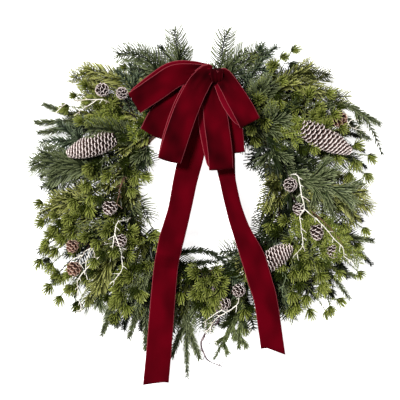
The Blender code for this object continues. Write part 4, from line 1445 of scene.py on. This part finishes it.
    def grow_belt(self, belt: Belt) -> None:
        """Make one belt, with a piece for each kind of greenery in it.

        Args:
            belt: its table row.
        """
        draw = Draw(belt.name)
        plants: dict[Kind, Plant] = {}
        for number in range(belt.count):
            angle = (360 * (number + draw.uniform(-0.3, 0.3)) / belt.count) % 360
            letter = belt.kinds[int(angle / SECTOR)]
            if letter == NO_SHOOT:
                continue
            kind = KIND_LETTERS[letter] if draw.random() > STRAY_SHARE else draw.choice(STRAYS)
            if kind not in plants:
                plants[kind] = self.plant(kind, draw, belt.shaded)
            self.add_shoot(plants[kind], belt, angle)
        for kind, plant in plants.items():
            habit = kind.habit
            # Shaded belts take the darker needles: painted shade
            finish = "undergrowth_painted_shade" if belt.shaded else habit.finish
            self.bench.piece(f"{belt.name}_{habit.finish}", plant.grown(), (finish,), habit.slot)

    def build(self) -> None:
        """Grow every spray that has a solid node, then what stands between and over them."""
        for spray in SPRAYS:
            self.grow(spray)
        for spray in ACCENTS:
            self.grow(spray, has_node=False)
        for belt in BELTS:
            self.grow_belt(belt)
        for stem in TUFT_STEMS:
            self.grow(stem.spray(), has_node=False)


@dataclass
class VineRing:
    """The base: vine strands twisted round each other and bound with thin wire."""

    bench: Bench
    strands: int = 5
    twists: int = 7
    steps: int = 150
    strand_radius: float = 4.4 * MM
    strand_sides: int = 7
    wander: float = 5.6 * MM
    bindings: int = 22
    wire_steps: int = 18
    wire_turns: float = 1.15
    wire_reach: float = 10.4 * MM
    wire_pitch: float = 0.35
    wire_radius: float = 0.5 * MM

    def strand(self, number: int, draw: Draw) -> tuple[list[Matrix], list[float]]:
        """Lay one strand once round the ring.

        Args:
            number: which strand it is.
            draw: the ring's own seeded draw.

        Returns:
            Its frames and its radii.
        """
        start = math.tau * number / self.strands
        waves = [draw.uniform(0, math.tau) for _ in range(2)]
        path = []
        radii = []
        for step in range(self.steps + 1):
            turn = math.tau * step / self.steps
            around = start + turn * self.twists + 0.35 * math.sin(3 * turn + waves[0])
            off = self.wander * (1 + 0.08 * math.sin(5 * turn + waves[1]))
            outward = Vector((math.cos(turn), math.sin(turn), 0))
            path.append(outward * (RING_RADIUS + math.cos(around) * off)
                        + UP * (RING_TUBE + math.sin(around) * off))
            radii.append(self.strand_radius * (1 + 0.12 * math.sin(9 * turn + waves[0])))
        frames = []
        for step, place in enumerate(path):
            forward = (path[(step + 1) % self.steps] - path[(step - 1) % self.steps]).normalized()
            frames.append(Matrix.Translation(place) @ aimed(UP.cross(forward).normalized(), forward))
        return frames, radii

    def bind(self, bm: Form, angle: float) -> None:
        """Add one turn of thin wire round the strands.

        Args:
            bm: the binding's form.
            angle: its place round the ring in degrees.
        """
        middle = polar(angle, RING_RADIUS, RING_TUBE)
        outward = polar(angle, 1.0)
        along = UP.cross(outward)
        path = []
        for step in range(self.wire_steps + 1):
            turn = math.tau * self.wire_turns * step / self.wire_steps
            spot = outward * math.cos(turn) + UP * math.sin(turn)
            off = along * (step - self.wire_steps // 2) * self.wire_pitch * MM
            path.append(middle + spot * self.wire_reach + off)
        add_tube(bm, frames_along(path, along), [self.wire_radius] * len(path), 5)

    @staticmethod
    def keep_above_floor(bm: Form) -> None:
        """Press what would pass through the surface flat on it."""
        for vert in bm.verts:
            vert.co.z = max(vert.co.z, 0.2 * MM)

    def build(self) -> None:
        """Make the strands as one piece and the binding as another."""
        draw = Draw("vine")
        bm = bmesh.new()
        for number in range(self.strands):
            add_tube(bm, *self.strand(number, draw), self.strand_sides)
        self.keep_above_floor(bm)
        self.bench.piece("vine_strands", bm, ("vine",), "vine", ("vine_ring",))
        bm = bmesh.new()
        for number in range(self.bindings):
            self.bind(bm, 360 * (number + draw.uniform(-0.2, 0.2)) / self.bindings)
        self.keep_above_floor(bm)
        self.bench.piece("binding_wire", bm, ("wire",), "wire")


@dataclass(frozen=True)
class Bough:
    """A bare twig or stalk: a path from the ring, its forks, and the cones it carries.

    forks are (index on the path, points). cones are (line, base, tip, radius), where
    line is the path's or a fork's number, whose end the cone sits on.
    """

    name: str
    root: float
    seat: float
    path: tuple
    radius: float
    forks: tuple = ()
    cones: tuple = ()
    scales: int = 34
    finish: str = "frost"
    scale_finish: str = "cone"
    has_node: bool = True

    def lines(self) -> list[Path]:
        """Lay the path from the ring, and its forks, and run each stalk into its cone.

        Returns:
            The points of each line, in metres.
        """
        start, away = seat_on_ring(self.root, self.seat)
        points = [start, start + away * 5 * MM] + [millimetres(*point) for point in self.path]
        lines = [points]
        for index, fork in self.forks:
            lines.append([points[index + 2]] + [millimetres(*point) for point in fork])
        for line, base, tip, _ in self.cones:
            base, tip = millimetres(*base), millimetres(*tip)
            lines[line][-1] = base + (tip - base) * 0.05
            lines[line].append(base + (tip - base) * 0.3)
        return lines


CONE_BOUGHS = (
    Bough("large_cone_left", 149, 60, ((-160, 100, 50), (-178, 112, 76)), 1.6,
          cones=((0, (-180, 113, 77), (-280, 78, 74), 23),), scales=170),
    Bough("large_cone_right", 34, 60, ((160, 112, 50), (184, 132, 78)), 1.6,
          cones=((0, (188, 135, 79), (292, 82, 74), 24),), scales=170),
    Bough("large_cone_low", 307, 75, ((104, -146, 46), (108, -148, 60)), 1.6,
          cones=((0, (110, -147, 62), (172, -102, 72), 22),), scales=130),
    Bough("small_cones_top_left", 135, 60, ((-140, 152, 52), (-163, 190, 80)), 1.3,
          forks=((0, ((-176, 180, 66), (-198, 204, 78))),),
          cones=((0, (-165, 196, 84), (-170, 206, 104), 11), (1, (-200, 208, 82), (-214, 207, 100), 13))),
    Bough("small_cones_left", 193, 55, ((-172, -50, 50), (-190, -38, 76)), 1.3,
          forks=((0, ((-176, -74, 66), (-172, -88, 78))),),
          cones=((0, (-190, -16, 86), (-193, -39, 94), 14), (1, (-172, -83, 86), (-168, -103, 94), 12))),
    Bough("small_cones_far_left", 203, 60, ((-182, -86, 54), (-230, -100, 74), (-258, -104, 78)), 1.3,
          forks=((1, ((-246, -122, 76), (-258, -140, 78))),),
          cones=((0, (-264, -94, 84), (-268, -114, 94), 12), (1, (-260, -138, 84), (-266, -160, 94), 14)),
          scale_finish="warm_cone"),
    Bough("small_cone_right_top", 24, 60, ((176, 86, 36), (230, 124, 42), (254, 141, 62)), 1.3,
          cones=((0, (259, 143, 74), (274, 153, 94), 15),), scale_finish="warm_cone"),
    Bough("small_cones_right_inner", 6, 80, ((160, 14, 48), (164, 14, 74)), 1.3,
          forks=((0, ((172, -6, 66), (180, -18, 78))),),
          cones=((0, (167, 24, 80), (169, 12, 101), 13), (1, (182, -20, 82), (186, -40, 92), 10))),
    Bough("small_cones_right", 339, 60, ((182, -72, 54), (214, -70, 74)), 1.3,
          forks=((0, ((226, -98, 72), (246, -106, 80))),),
          cones=((0, (219, -62, 80), (223, -90, 90), 12), (1, (248, -104, 82), (256, -126, 92), 10))),
    Bough("small_cones_bottom", 287, 75, ((56, -170, 50), (62, -184, 76)), 1.3,
          forks=((0, ((42, -196, 66), (37, -210, 76))),),
          cones=((0, (70, -184, 84), (60, -200, 96), 12.5), (1, (43, -211, 84), (30, -226, 96), 11))),
)
TWIGS = (
    Bough("frosted_twig_top_left", 142, 75,
          ((-142, 132, 28), (-172, 164, 44), (-206, 188, 96), (-234, 176, 102), (-262, 156, 96)), 1.5,
          forks=((2, ((-248, 187, 104), (-280, 178, 98), (-306, 157, 90), (-321, 155, 86))),)),
    Bough("frosted_twig_left", 197, 75,
          ((-156, -52, 62), (-176, -56, 96), (-182, -78, 100), (-186, -108, 98), (-191, -134, 92)), 1.3,
          forks=((2, ((-172, -106, 102), (-168, -124, 98), (-167, -148, 94), (-176, -164, 92),
                      (-192, -180, 88))),)),
    Bough("frosted_twig_far_left", 211, 70,
          ((-160, -108, 64), (-210, -124, 84), (-252, -166, 96), (-255, -190, 94), (-255, -206, 92),
           (-249, -220, 88), (-252, -232, 84), (-260, -244, 80), (-258, -258, 76)), 1.4,
          forks=((5, ((-248, -230, 88), (-242, -242, 90))),)),
    Bough("frosted_twig_right", 12, 95,
          ((160, 36, 44), (182, 36, 84), (190, -4, 104), (196, -30, 104), (187, -42, 102),
           (189, -68, 98), (193, -96, 94), (190, -108, 92), (181, -118, 90), (184, -132, 86)), 1.3,
          forks=((3, ((212, -44, 104), (226, -56, 100), (243, -75, 98), (257, -92, 102),
                      (272, -106, 100), (275, -124, 94), (286, -131, 92), (294, -138, 90))),
                 (2, ((200, -10, 108), (206, -16, 112))))),
    Bough("frosted_twig_bottom", 278, 75,
          ((18, -168, 60), (14, -206, 84), (25, -249, 82), (10, -264, 80), (-2, -278, 76),
           (2, -292, 74), (16, -304, 70)), 3.4, finish="mauve",
          forks=((4, ((-10, -300, 74), (-2, -322, 70), (8, -334, 66), (30, -343, 60), (34, -350, 56))),)),
    Bough("twig_upper_right", 26, 80,
          ((190, 120, 50), (262, 166, 62), (280, 158, 84), (283, 140, 88), (295, 130, 86), (313, 126, 82),
           (318, 120, 78)), 1.1, has_node=False,
          forks=((3, ((290, 148, 88), (304, 146, 86))),)),
    Bough("twig_fan_left", 208, 80,
          ((-170, -92, 60), (-226, -106, 84), (-246, -122, 90), (-256, -148, 88)), 1.1, has_node=False,
          forks=((1, ((-236, -128, 90), (-240, -152, 88), (-236, -170, 86))),
                 (2, ((-262, -128, 90), (-272, -138, 88))),
                 (1, ((-222, -126, 88), (-224, -146, 86))))),
    Bough("twig_low_right", 312, 80,
          ((128, -150, 52), (158, -160, 76), (153, -184, 84), (153, -204, 82), (163, -210, 78)), 1.1,
          has_node=False, finish="sage"),
    Bough("thin_twig_bottom", 290, 80,
          ((60, -176, 60), (64, -216, 88), (40, -236, 90), (22, -246, 88), (10, -262, 86),
           (-1, -278, 82)), 1.3, has_node=False,
          forks=((2, ((30, -232, 94), (8, -246, 92), (-6, -256, 88))),
                 (4, ((8, -274, 84), (16, -284, 80), (22, -300, 78))))),
    Bough("brown_stick_right", 350, 85,
          ((196, -28, 50), (224, -46, 82), (254, -76, 92), (272, -102, 90)), 1.9, has_node=False,
          finish="stalk"),
    Bough("brown_stick_left", 164, 90,
          ((-162, 34, 60), (-168, 22, 84), (-172, 4, 90), (-176, -14, 90), (-180, -32, 80)), 2.8,
          has_node=False, finish="stalk"),
)


@dataclass
class Woodwork:
    """The cones on their stalks and the frosted twigs."""

    bench: Bench
    step: float = 6 * MM
    slant: float = math.radians(16)
    sides: int = 6
    fine_scales: int = 100
    core_width: float = 0.6
    scale_cover: float = 2.1
    scale_thickness: float = 0.09
    node_every: int = 4
    node_swell: float = 0.35
    jitter: float = 0.7
    twig_end: float = 0.55 * MM
    spur_sides: int = 5
    spur_steps: int = 4

    def __post_init__(self) -> None:
        """Make the scale of large cones and the plainer one of small cones."""
        self.fine_scale = self.make_scale(3)
        self.small_scale = self.make_scale(2)

    def make_scale(self, parts: int) -> Mesh:
        """Make one cone scale, a unit wide and long: a cupped plate with a rounded end.

        Args:
            parts: its faces each way.

        Returns:
            The scale.
        """
        bm = bmesh.new()
        bmesh.ops.create_grid(bm, x_segments=parts, y_segments=parts, size=0.5)
        for vert in bm.verts:
            along = vert.co.y + 0.5
            narrow = mixed(0.45, 1.0, math.sin(min(along * 1.35, 1.0) * math.pi / 2))
            rounded = math.sqrt(max(0.0, 1 - (abs(vert.co.x) * 1.6) ** 2)) if along > 0.9 else 1.0
            cup = -0.5 * vert.co.x ** 2 + 0.10 * along ** 3
            vert.co = Vector((vert.co.x * narrow, along * (0.82 + 0.18 * rounded), cup))
        bmesh.ops.solidify(bm, geom=bm.faces[:], thickness=self.scale_thickness)
        bmesh.ops.recalc_face_normals(bm, faces=bm.faces)
        tip = bm.verts.layers.float.new("tip")
        for vert in bm.verts:
            vert[tip] = min(max(vert.co.y, 0.0), 1.0)
        return stored(bm, "scale")

    def add_cone(self, bm: Form, base: Vector, tip: Vector, radius: float, scales: int,
                 draw: Draw) -> None:
        """Add a cone of overlapping scales on a spiral round a slim core.

        Args:
            bm: the form that it joins.
            base: the stalk's end.
            tip: the cone's tip.
            radius: its greatest radius, over the scales' tips.
            scales: how many scales it has.
            draw: a seeded draw.
        """
        length = (tip - base).length
        forward = (tip - base).normalized()
        turned = aimed(forward.cross(Vector((0.3, 0.2, 1))).normalized(), forward)
        core = radius * self.core_width
        known = len(bm.verts)
        bmesh.ops.create_uvsphere(bm, u_segments=10, v_segments=8, radius=1)
        bm.verts.ensure_lookup_table()
        for vert in bm.verts[known:]:
            vert.co = base + turned @ Vector((vert.co.x * core, vert.co.y * core,
                                              (vert.co.z * 0.46 + 0.5) * length))
        wide = math.sqrt(math.tau * radius * length * 0.8 / scales * self.scale_cover)
        scale = self.fine_scale if scales > self.fine_scales else self.small_scale
        for index in range(scales):
            along = ((index + 0.5) / scales) ** 0.92
            full = math.sin(math.pi * min(max(along * 0.9 + 0.07, 0), 1) ** 0.85) ** 0.6
            out = math.radians(mixed(78, 8, along ** 1.5) + draw.uniform(-5, 5))
            size = wide * mixed(0.6, 1.0, full)
            reach = radius * 0.76 * full - size * 0.5 * math.sin(out)
            height = along * length * 0.92 - size * 0.25 * math.cos(out)
            around = Matrix.Rotation(index * GOLDEN_TURN, 4, "Z")
            spot = around @ Matrix.Translation((0, max(reach, 0.0), height))
            stand = Matrix.Rotation(math.pi / 2 - out, 4, "X")
            grow = Matrix.Rotation(self.slant, 4, "Z") @ Matrix.Diagonal((size * 0.96, size * 0.98, size, 1))
            copy_in(bm, scale, Matrix.Translation(base) @ turned @ spot @ stand @ grow)

    def knobbly(self, path: Path, start: float, end: float, draw: Draw) -> list[float]:
        """Give a natural twig its radii, thicker at its nodes.

        Args:
            path: the twig's points.
            start: its radius at the root.
            end: its radius at the tip.
            draw: a seeded draw.

        Returns:
            The radius at each point.
        """
        radii = []
        for index, radius in enumerate(tapered(len(path), start, end)):
            swell = self.node_swell if index % self.node_every == 2 else 0
            radii.append(radius * (1 + swell + draw.uniform(-0.1, 0.1)))
        return radii

    def add_spurs(self, bm: Form, path: Path, draw: Draw) -> None:
        """Add short side spurs, as a frosted branch carries them.

        Args:
            bm: the bough's form.
            path: the points of one of its lines.
            draw: a seeded draw.
        """
        for index in range(5, len(path) - 1, 3):
            forward = (path[index + 1] - path[index]).normalized()
            side = UP.cross(forward).normalized() * draw.choice((-1, 1))
            reach = draw.uniform(5, 15) * MM
            way = (forward * 0.7 + side * 0.8 + UP * draw.uniform(-0.2, 0.5)).normalized()
            middle = path[index] + way * reach * 0.5 + side * 1.2 * MM
            spur = bezier(path[index], middle, middle, path[index] + way * reach, self.spur_steps)
            add_rod(bm, spur, tapered(len(spur), 0.75 * MM, 0.4 * MM), self.spur_sides)

    def build_cones(self) -> None:
        """Make each pick of cones as one piece, stalk and all."""
        for bough in CONE_BOUGHS:
            draw = Draw(bough.name)
            bm = bmesh.new()
            bm.verts.layers.float.new("tip")
            for line in bough.lines():
                path = smooth_path(line, self.step)
                radius = bough.radius * MM
                add_rod(bm, path, self.knobbly(path, radius, radius * 0.9, draw), self.sides)
            for _, base, tip, radius in bough.cones:
                self.add_cone(bm, millimetres(*base), millimetres(*tip), radius * MM, bough.scales, draw)
            self.bench.named_piece(bough.name, bm, (bough.scale_finish,), "cone_scales")

    def build_twigs(self) -> None:
        """Make each frosted twig, with short spurs off each line."""
        for bough in TWIGS:
            draw = Draw(bough.name)
            bm = bmesh.new()
            for number, line in enumerate(bough.lines()):
                path = smooth_path(line, self.step)
                for place in path[2:]:
                    place += Vector([draw.uniform(-self.jitter, self.jitter) * MM for _ in range(3)])
                radius = bough.radius * MM * (1 if number == 0 else 0.75)
                add_rod(bm, path, self.knobbly(path, radius, self.twig_end, draw), self.sides)
                self.add_spurs(bm, path, draw)
            self.bench.named_piece(bough.name, bm, (bough.finish,), "frosted_twig", bough.has_node)


@dataclass(frozen=True)
class Ribbon:
    """One loop or tail: plan points after the knot, widths, and heights.

    cut is how far each edge of a tail's end runs on, for a slanted cut.
    """

    name: str
    points: tuple
    widths: tuple
    knot_height: float
    back: float = 0.0
    front: float = 0.0
    shift: float = 0.0
    heights: tuple = ()
    start: float = 10.35
    cut: tuple = (0, 0)


LOOPS = (
    Ribbon("bow_loop_right_rear", ((30, 206), (38, 176), (47, 136), (52, 83)),
           (26, 36, 46, 50, 50), 98.0, 97, 104, 4),
    Ribbon("bow_loop_left_rear", ((-4, 226), (-36, 206), (-68, 180), (-92, 150), (-108, 118)),
           (26, 32, 40, 47, 50, 50), 101.4, 101, 109, -4),
    Ribbon("bow_loop_centre", ((17, 214), (14, 190), (20, 144), (27, 92), (30, 49)),
           (26, 34, 42, 49, 49, 48), 105.6, 115, 126, 11),
    Ribbon("bow_loop_upper_left", ((-6, 240), (-36, 239), (-64, 233), (-97, 211), (-143, 180)),
           (28, 34, 41, 47, 48, 46), 108.8, 116, 128, 7),
    Ribbon("bow_loop_right", ((33, 234), (46, 215), (60, 191), (75, 165), (87, 141)),
           (30, 34, 38, 42, 44, 44), 112.0, 130, 142, 11, start=4.0),
    Ribbon("bow_loop_left", ((4, 240), (-15, 217), (-38, 170), (-58, 114), (-73, 66)),
           (30, 36, 44, 48, 49, 47), 115.4, 133, 146, 4),
)
TAILS = (
    Ribbon("ribbon_tail_left",
           ((10, 196), (-6, 150), (-20, 108), (-31, 68), (-41, 28), (-53, -32), (-68, -88),
            (-75, -119), (-80, -147), (-86, -210), (-93, -302), (-100, -378)),
           (18, 30, 42, 48, 50, 48, 46, 50, 48, 48, 49, 50, 51), 92.0,
           heights=(92, 92, 96, 101, 98, 88, 79, 82, 99, 80, 88, 80, 56), cut=(-8, 6)),
    Ribbon("ribbon_tail_right",
           ((27, 196), (30, 150), (34, 108), (38, 68), (43, 28), (55, -26), (70, -72),
            (93, -126), (107, -172), (119, -214), (133, -310)),
           (18, 30, 42, 44, 40, 32, 32, 36, 48, 48, 46, 47), 95.0,
           heights=(95, 95, 94, 94, 94, 86, 78, 82, 90, 92, 88, 70), cut=(14, -12)),
)
# Across and up from the knot, height and width of the band over the knot's front
KNOT_COVER = ((-1, 12, 101, 25), (-1, 11.5, 110, 26), (-1, 9, 118, 26), (-1, 4, 123, 26),
              (-1, -2, 125, 24), (-0.5, -8, 124, 21), (0, -14, 119, 17), (0, -18, 110, 13),
              (-1, -20, 101, 10))


@dataclass
class Station:
    """One line across a ribbon."""

    middle: Vector
    across: Vector
    width: float
    pleat: float = 0.0


class Course:
    """A ribbon's way over the plan, from the knot's side to its end."""

    STEP = 4 * MM

    def __init__(self, ribbon: Ribbon, knot: Vector, start: float) -> None:
        """Lay the line through a ribbon's points.

        Args:
            ribbon: its table row.
            knot: the knot's place.
            start: how far from there it begins.
        """
        points = [millimetres(*point, 0) for point in ribbon.points]
        out = (points[0] - knot).normalized()
        points.insert(0, knot + out * start)
        self.points = smooth_path(points, self.STEP)
        self.marks = [0.0]
        for before, after in zip(self.points, self.points[1:]):
            self.marks.append(self.marks[-1] + (after - before).length)
        self.length = self.marks[-1]
        ends = [(point - points[0]).length for point in points]
        self.width_marks = [end / ends[-1] for end in ends]
        self.widths = list(ribbon.widths)

    def station(self, distance: float, height: float, shift: float = 0.0,
                pleat: float = 0.0) -> Station:
        """Find the line across the ribbon at one place.

        Args:
            distance: how far along it is.
            height: how high.
            shift: how far it is moved sideways.
            pleat: how much the ribbon is gathered there.

        Returns:
            The station.
        """
        distance = min(max(distance, 0.0), self.length)
        low = 0
        while low < len(self.points) - 2 and self.marks[low + 1] <= distance:
            low += 1
        run = self.points[low + 1] - self.points[low]
        place = self.points[low] + run * ((distance - self.marks[low]) / run.length)
        ahead = self.points[min(low + 2, len(self.points) - 1)]
        behind = self.points[max(low - 1, 0)]
        across = (ahead - behind).normalized().cross(UP)
        middle = place + across * shift
        middle.z = height
        width = read_off(self.width_marks, self.widths, distance / self.length) * MM
        return Station(middle, across, width, pleat)


@dataclass
class Weave:
    """A ribbon's form, its vertices' places on the flat ribbon, in widths of it, and its flat size."""

    bm: Form
    spots: dict
    flat: tuple[float, float]


@dataclass
class Bow:
    """Six velvet loops, a wound knot and two tails of one ribbon."""

    bench: Bench
    knot: Vector = Vector((22, 238, 0)) * MM
    knot_radius: float = 10 * MM
    knot_low: float = 90 * MM
    knot_high: float = 123 * MM
    knot_turns: float = 2.3
    knot_grid: tuple = (10, 64)
    knot_hem: float = 0.5 * MM
    cut_width: float = 50 * MM
    cover_width: float = 0.026
    thickness: float = 0.8 * MM
    gap: float = 0.35 * MM
    step: float = 5 * MM
    cover_step: float = 2.5 * MM
    across_steps: int = 12
    pleats: int = 3
    pleat_depth: float = 1.3 * MM
    crown_height: float = 1.6 * MM
    crumple_depth: float = 3.0 * MM
    crumples: float = 24.0
    loop_rise: float = 0.45
    tail_rise: float = 0.22

    def loop_stations(self, ribbon: Ribbon) -> list[Station]:
        """Lead a loop out over the front, round the fold and back underneath.

        Args:
            ribbon: its table row.

        Returns:
            The lines across it.
        """
        course = Course(ribbon, self.knot, ribbon.start * MM)
        rise = self.loop_rise * course.length
        back_start = ribbon.knot_height * MM
        front_start = back_start + 1.7 * MM
        back, front = ribbon.back * MM, ribbon.front * MM
        fold = (front - back) / 2
        straight = course.length - fold
        count = round(straight / self.step)
        outs = [straight * index / count for index in range(count + 1)]
        stations = []
        for out in outs:
            risen = ease(out / rise)
            stations.append(course.station(out, mixed(front_start, front, risen), pleat=1 - risen))
        for turn in range(20, 180, 20):
            reach = straight + fold * math.sin(math.radians(turn))
            stations.append(course.station(reach, (front + back) / 2 + fold * math.cos(math.radians(turn))))
        for out in reversed(outs):
            risen = ease(out / rise)
            slide = ribbon.shift * MM * math.sin(math.pi * min(out / straight, 1)) ** 0.5 if out else 0.0
            stations.append(course.station(out, mixed(back_start, back, risen), slide, 1 - risen))
        return stations

    def tail_stations(self, ribbon: Ribbon) -> list[Station]:
        """Lay one tail over the greenery and the hole.

        Args:
            ribbon: its table row.

        Returns:
            The lines across it.
        """
        course = Course(ribbon, self.knot, self.knot_radius + self.gap)
        count = round(course.length / self.step)
        stations = []
        for index in range(count + 1):
            share = index / count
            height = read_off(course.width_marks, list(ribbon.heights), share) * MM
            pleat = 1 - ease(share / self.tail_rise)
            stations.append(course.station(course.length * share, height, pleat=pleat))
        return stations

    def spot(self, station: Station, along: Vector, side: float) -> Vector:
        """Find where one point of a ribbon lies.

        Args:
            station: the line across the ribbon that it is on.
            along: the way that the ribbon runs there.
            side: its place across, from -0.5 to 0.5.

        Returns:
            The point, raised by pleats near the knot and crumples elsewhere.
        """
        facing = station.across.cross(along).normalized()
        wave = math.sin(side * math.tau * self.pleats) * self.pleat_depth * station.pleat
        crown = (0.25 - side * side) * 4 * self.crown_height * (1 - station.pleat)
        place = station.middle + station.across * station.width * side
        crumple = noise.noise(place * self.crumples) * self.crumple_depth * (1 - station.pleat)
        return place + facing * (wave + crown + crumple)

    def strip(self, stations: list[Station], cut: tuple = (0, 0), width: float = 0.0) -> Weave:
        """Run a ribbon through stations.

        Args:
            stations: the lines across it.
            cut: how far each edge of the last station runs on, in millimetres.
            width: its flat width, where that isn't the whole ribbon's.

        Returns:
            The ribbon.
        """
        bm = bmesh.new()
        rows = len(stations) - 1
        bmesh.ops.create_grid(bm, x_segments=self.across_steps, y_segments=rows, size=0.5)
        middles = [station.middle for station in stations]
        run = [0.0]
        for before, after in zip(middles, middles[1:]):
            run.append(run[-1] + (after - before).length)
        spots = {}
        for vert in bm.verts:
            side, number = vert.co.x, round((vert.co.y + 0.5) * rows)
            spots[vert] = (side + 0.5, run[number] / self.cut_width)
            along = heading(middles, number)
            place = self.spot(stations[number], along, side)
            if number == rows:
                place += along * mixed(cut[0] * MM, cut[1] * MM, side + 0.5)
            vert.co = place
        return Weave(bm, spots, (width or self.cut_width, run[-1]))

    def wound_knot(self) -> Weave:
        """Wind and gather the ribbon's middle into the knot.

        Returns:
            The knot.
        """
        bm = bmesh.new()
        columns, rows = self.knot_grid
        bmesh.ops.create_grid(bm, x_segments=columns, y_segments=rows, size=0.5)
        length = math.tau * self.knot_turns * (self.knot_radius * 0.58)
        spots = {}
        for vert in bm.verts:
            rise, share = vert.co.x + 0.5, vert.co.y + 0.5
            spots[vert] = (rise, share * length / self.cut_width)
            pinch = 1 - 0.3 * ease((rise - 0.6) / 0.4)
            radius = mixed(2.6 * MM, self.knot_radius - 0.7 * MM, share) * pinch
            turn = math.tau * self.knot_turns * share
            ripple = 1 + 0.05 * math.sin(5 * turn + 4 * rise)
            vert.co = self.knot + Vector((math.cos(turn), math.sin(turn), 0)) * radius * ripple
            vert.co.z = mixed(self.knot_low + self.knot_hem, self.knot_high - self.knot_hem, rise)
        return Weave(bm, spots, (self.knot_high - self.knot_low, length))

    def cover_stations(self) -> list[Station]:
        """Lay the gathered band over the knot's front, which hides its wire.

        Returns:
            The lines across it.
        """
        path = smooth_path([self.knot + millimetres(*row[:3]) for row in KNOT_COVER], self.cover_step)
        widths = [row[3] for row in KNOT_COVER]
        marks = [index / (len(widths) - 1) for index in range(len(widths))]
        stations = []
        for index, place in enumerate(path):
            width = read_off(marks, widths, index / (len(path) - 1)) * MM
            stations.append(Station(place, Vector((-1, 0, 0)), width, 1.0))
        return stations

    def sew(self, name: str, weave: Weave, finish: str = "velvet", has_node: bool = True) -> None:
        """Make a piece of ribbon, with its UV map and its thickness.

        Args:
            name: its name in the tables.
            weave: the ribbon.
            finish: the finish of its face.
            has_node: whether it replaces a solid node.
        """
        cloth = weave.bm.loops.layers.uv.new("ribbon")
        for face in weave.bm.faces:
            face.smooth = True
            for loop in face.loops:
                loop[cloth].uv = weave.spots[loop.vert]
        thing = self.bench.named_piece(name, weave.bm, (finish, "backing"), "velvet", has_node)
        thick = thing.modifiers.new("thickness", "SOLIDIFY")
        thick.thickness = self.thickness
        thick.offset = 0
        thick.material_offset = 1

    def build(self) -> None:
        """Make the loops, the tails and the knot, and paint the wire that ties them."""
        for ribbon in LOOPS:
            self.sew(ribbon.name, self.strip(self.loop_stations(ribbon)))
        for ribbon in TAILS:
            # The tails take the paler velvet: painted light
            self.sew(ribbon.name, self.strip(self.tail_stations(ribbon), ribbon.cut), "tail")
        self.sew("bow_knot", self.wound_knot())
        # The band over the knot takes the darker velvet: painted shade
        self.sew("knot_cover", self.strip(self.cover_stations(), width=self.cover_width),
                 "gathered", has_node=False)
        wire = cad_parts["bow_tie_wire"]
        wire.data.materials.clear()
        wire.data.materials.append(self.bench.palette.get("wire"))


@dataclass
class Studio:
    """A pale floor, soft light and a camera that looks straight down."""

    centre: Vector = Vector((-6.45, 7.89, 0)) * MM
    field: float = 0.8
    lens: float = 800.0
    sensor: float = 36.0
    floor_radius: float = 9.0
    floor_sides: int = 48
    floor_glow: float = 0.9
    surroundings: float = 0.16

    # Name, power, spread in degrees and the direction that it shines from
    LAMPS = (("key", 5.0, 12, (-0.36, 0.3, 1.0)), ("fill", 0.7, 12, (0.1, -0.75, 1.0)))
    PALE = (0.85, 0.85, 0.85, 1)
    WHITE = (1, 1, 1, 1)

    def camera(self) -> None:
        """Set a long lens far above, so that heights hardly shift in the picture."""
        data = bpy.data.cameras.new("view")
        data.lens = self.lens
        data.sensor_width = self.sensor
        distance = self.field * self.lens / self.sensor
        data.clip_end = distance * 3
        thing = shown("view", data)
        thing.location = self.centre + UP * distance
        bpy.context.scene.camera = thing

    def floor(self) -> None:
        """Lay the surface that the wreath rests on."""
        bm = bmesh.new()
        bmesh.ops.create_circle(bm, cap_ends=True, segments=self.floor_sides, radius=self.floor_radius)
        mesh = stored(bm, "floor")
        mesh.materials.append(Blend("floor").finish(Base_Color=self.PALE, Roughness=0.9,
                                                    Emission_Color=self.WHITE,
                                                    Emission_Strength=self.floor_glow))
        thing = shown("floor", mesh)

    def lights(self) -> None:
        """Set even white surroundings, a broad light from the upper left and a weak one from below."""
        world = bpy.data.worlds.new("studio")
        world.use_nodes = True
        surroundings = world.node_tree.nodes["Background"]
        surroundings.inputs["Color"].default_value = self.WHITE
        surroundings.inputs["Strength"].default_value = self.surroundings
        bpy.context.scene.world = world
        for name, power, spread, way in self.LAMPS:
            data = bpy.data.lights.new(name, "SUN")
            data.energy = power
            data.angle = math.radians(spread)
            thing = shown(name, data)
            thing.rotation_mode = "QUATERNION"
            thing.rotation_quaternion = Vector(way).to_track_quat("Z", "Y")

    def build(self) -> None:
        """Set up everything that isn't part of the wreath."""
        self.camera()
        self.floor()
        self.lights()
        bpy.context.scene.view_settings.view_transform = "Standard"


def write_sizes() -> None:
    """Bring the scene's placements up to date."""
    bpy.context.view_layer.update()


def main() -> None:
    """Build the wreath from the ring outwards."""
    logging.basicConfig(level=logging.INFO, format="%(message)s")
    bench = Bench(Palette())
    Studio().build()
    VineRing(bench).build()
    Greenery(bench).build()
    woodwork = Woodwork(bench)
    woodwork.build_cones()
    woodwork.build_twigs()
    Bow(bench).build()
    LOG.info("all pieces: %d triangles", bench.triangles)
    write_sizes()


if __name__ == "__main__":
    main()
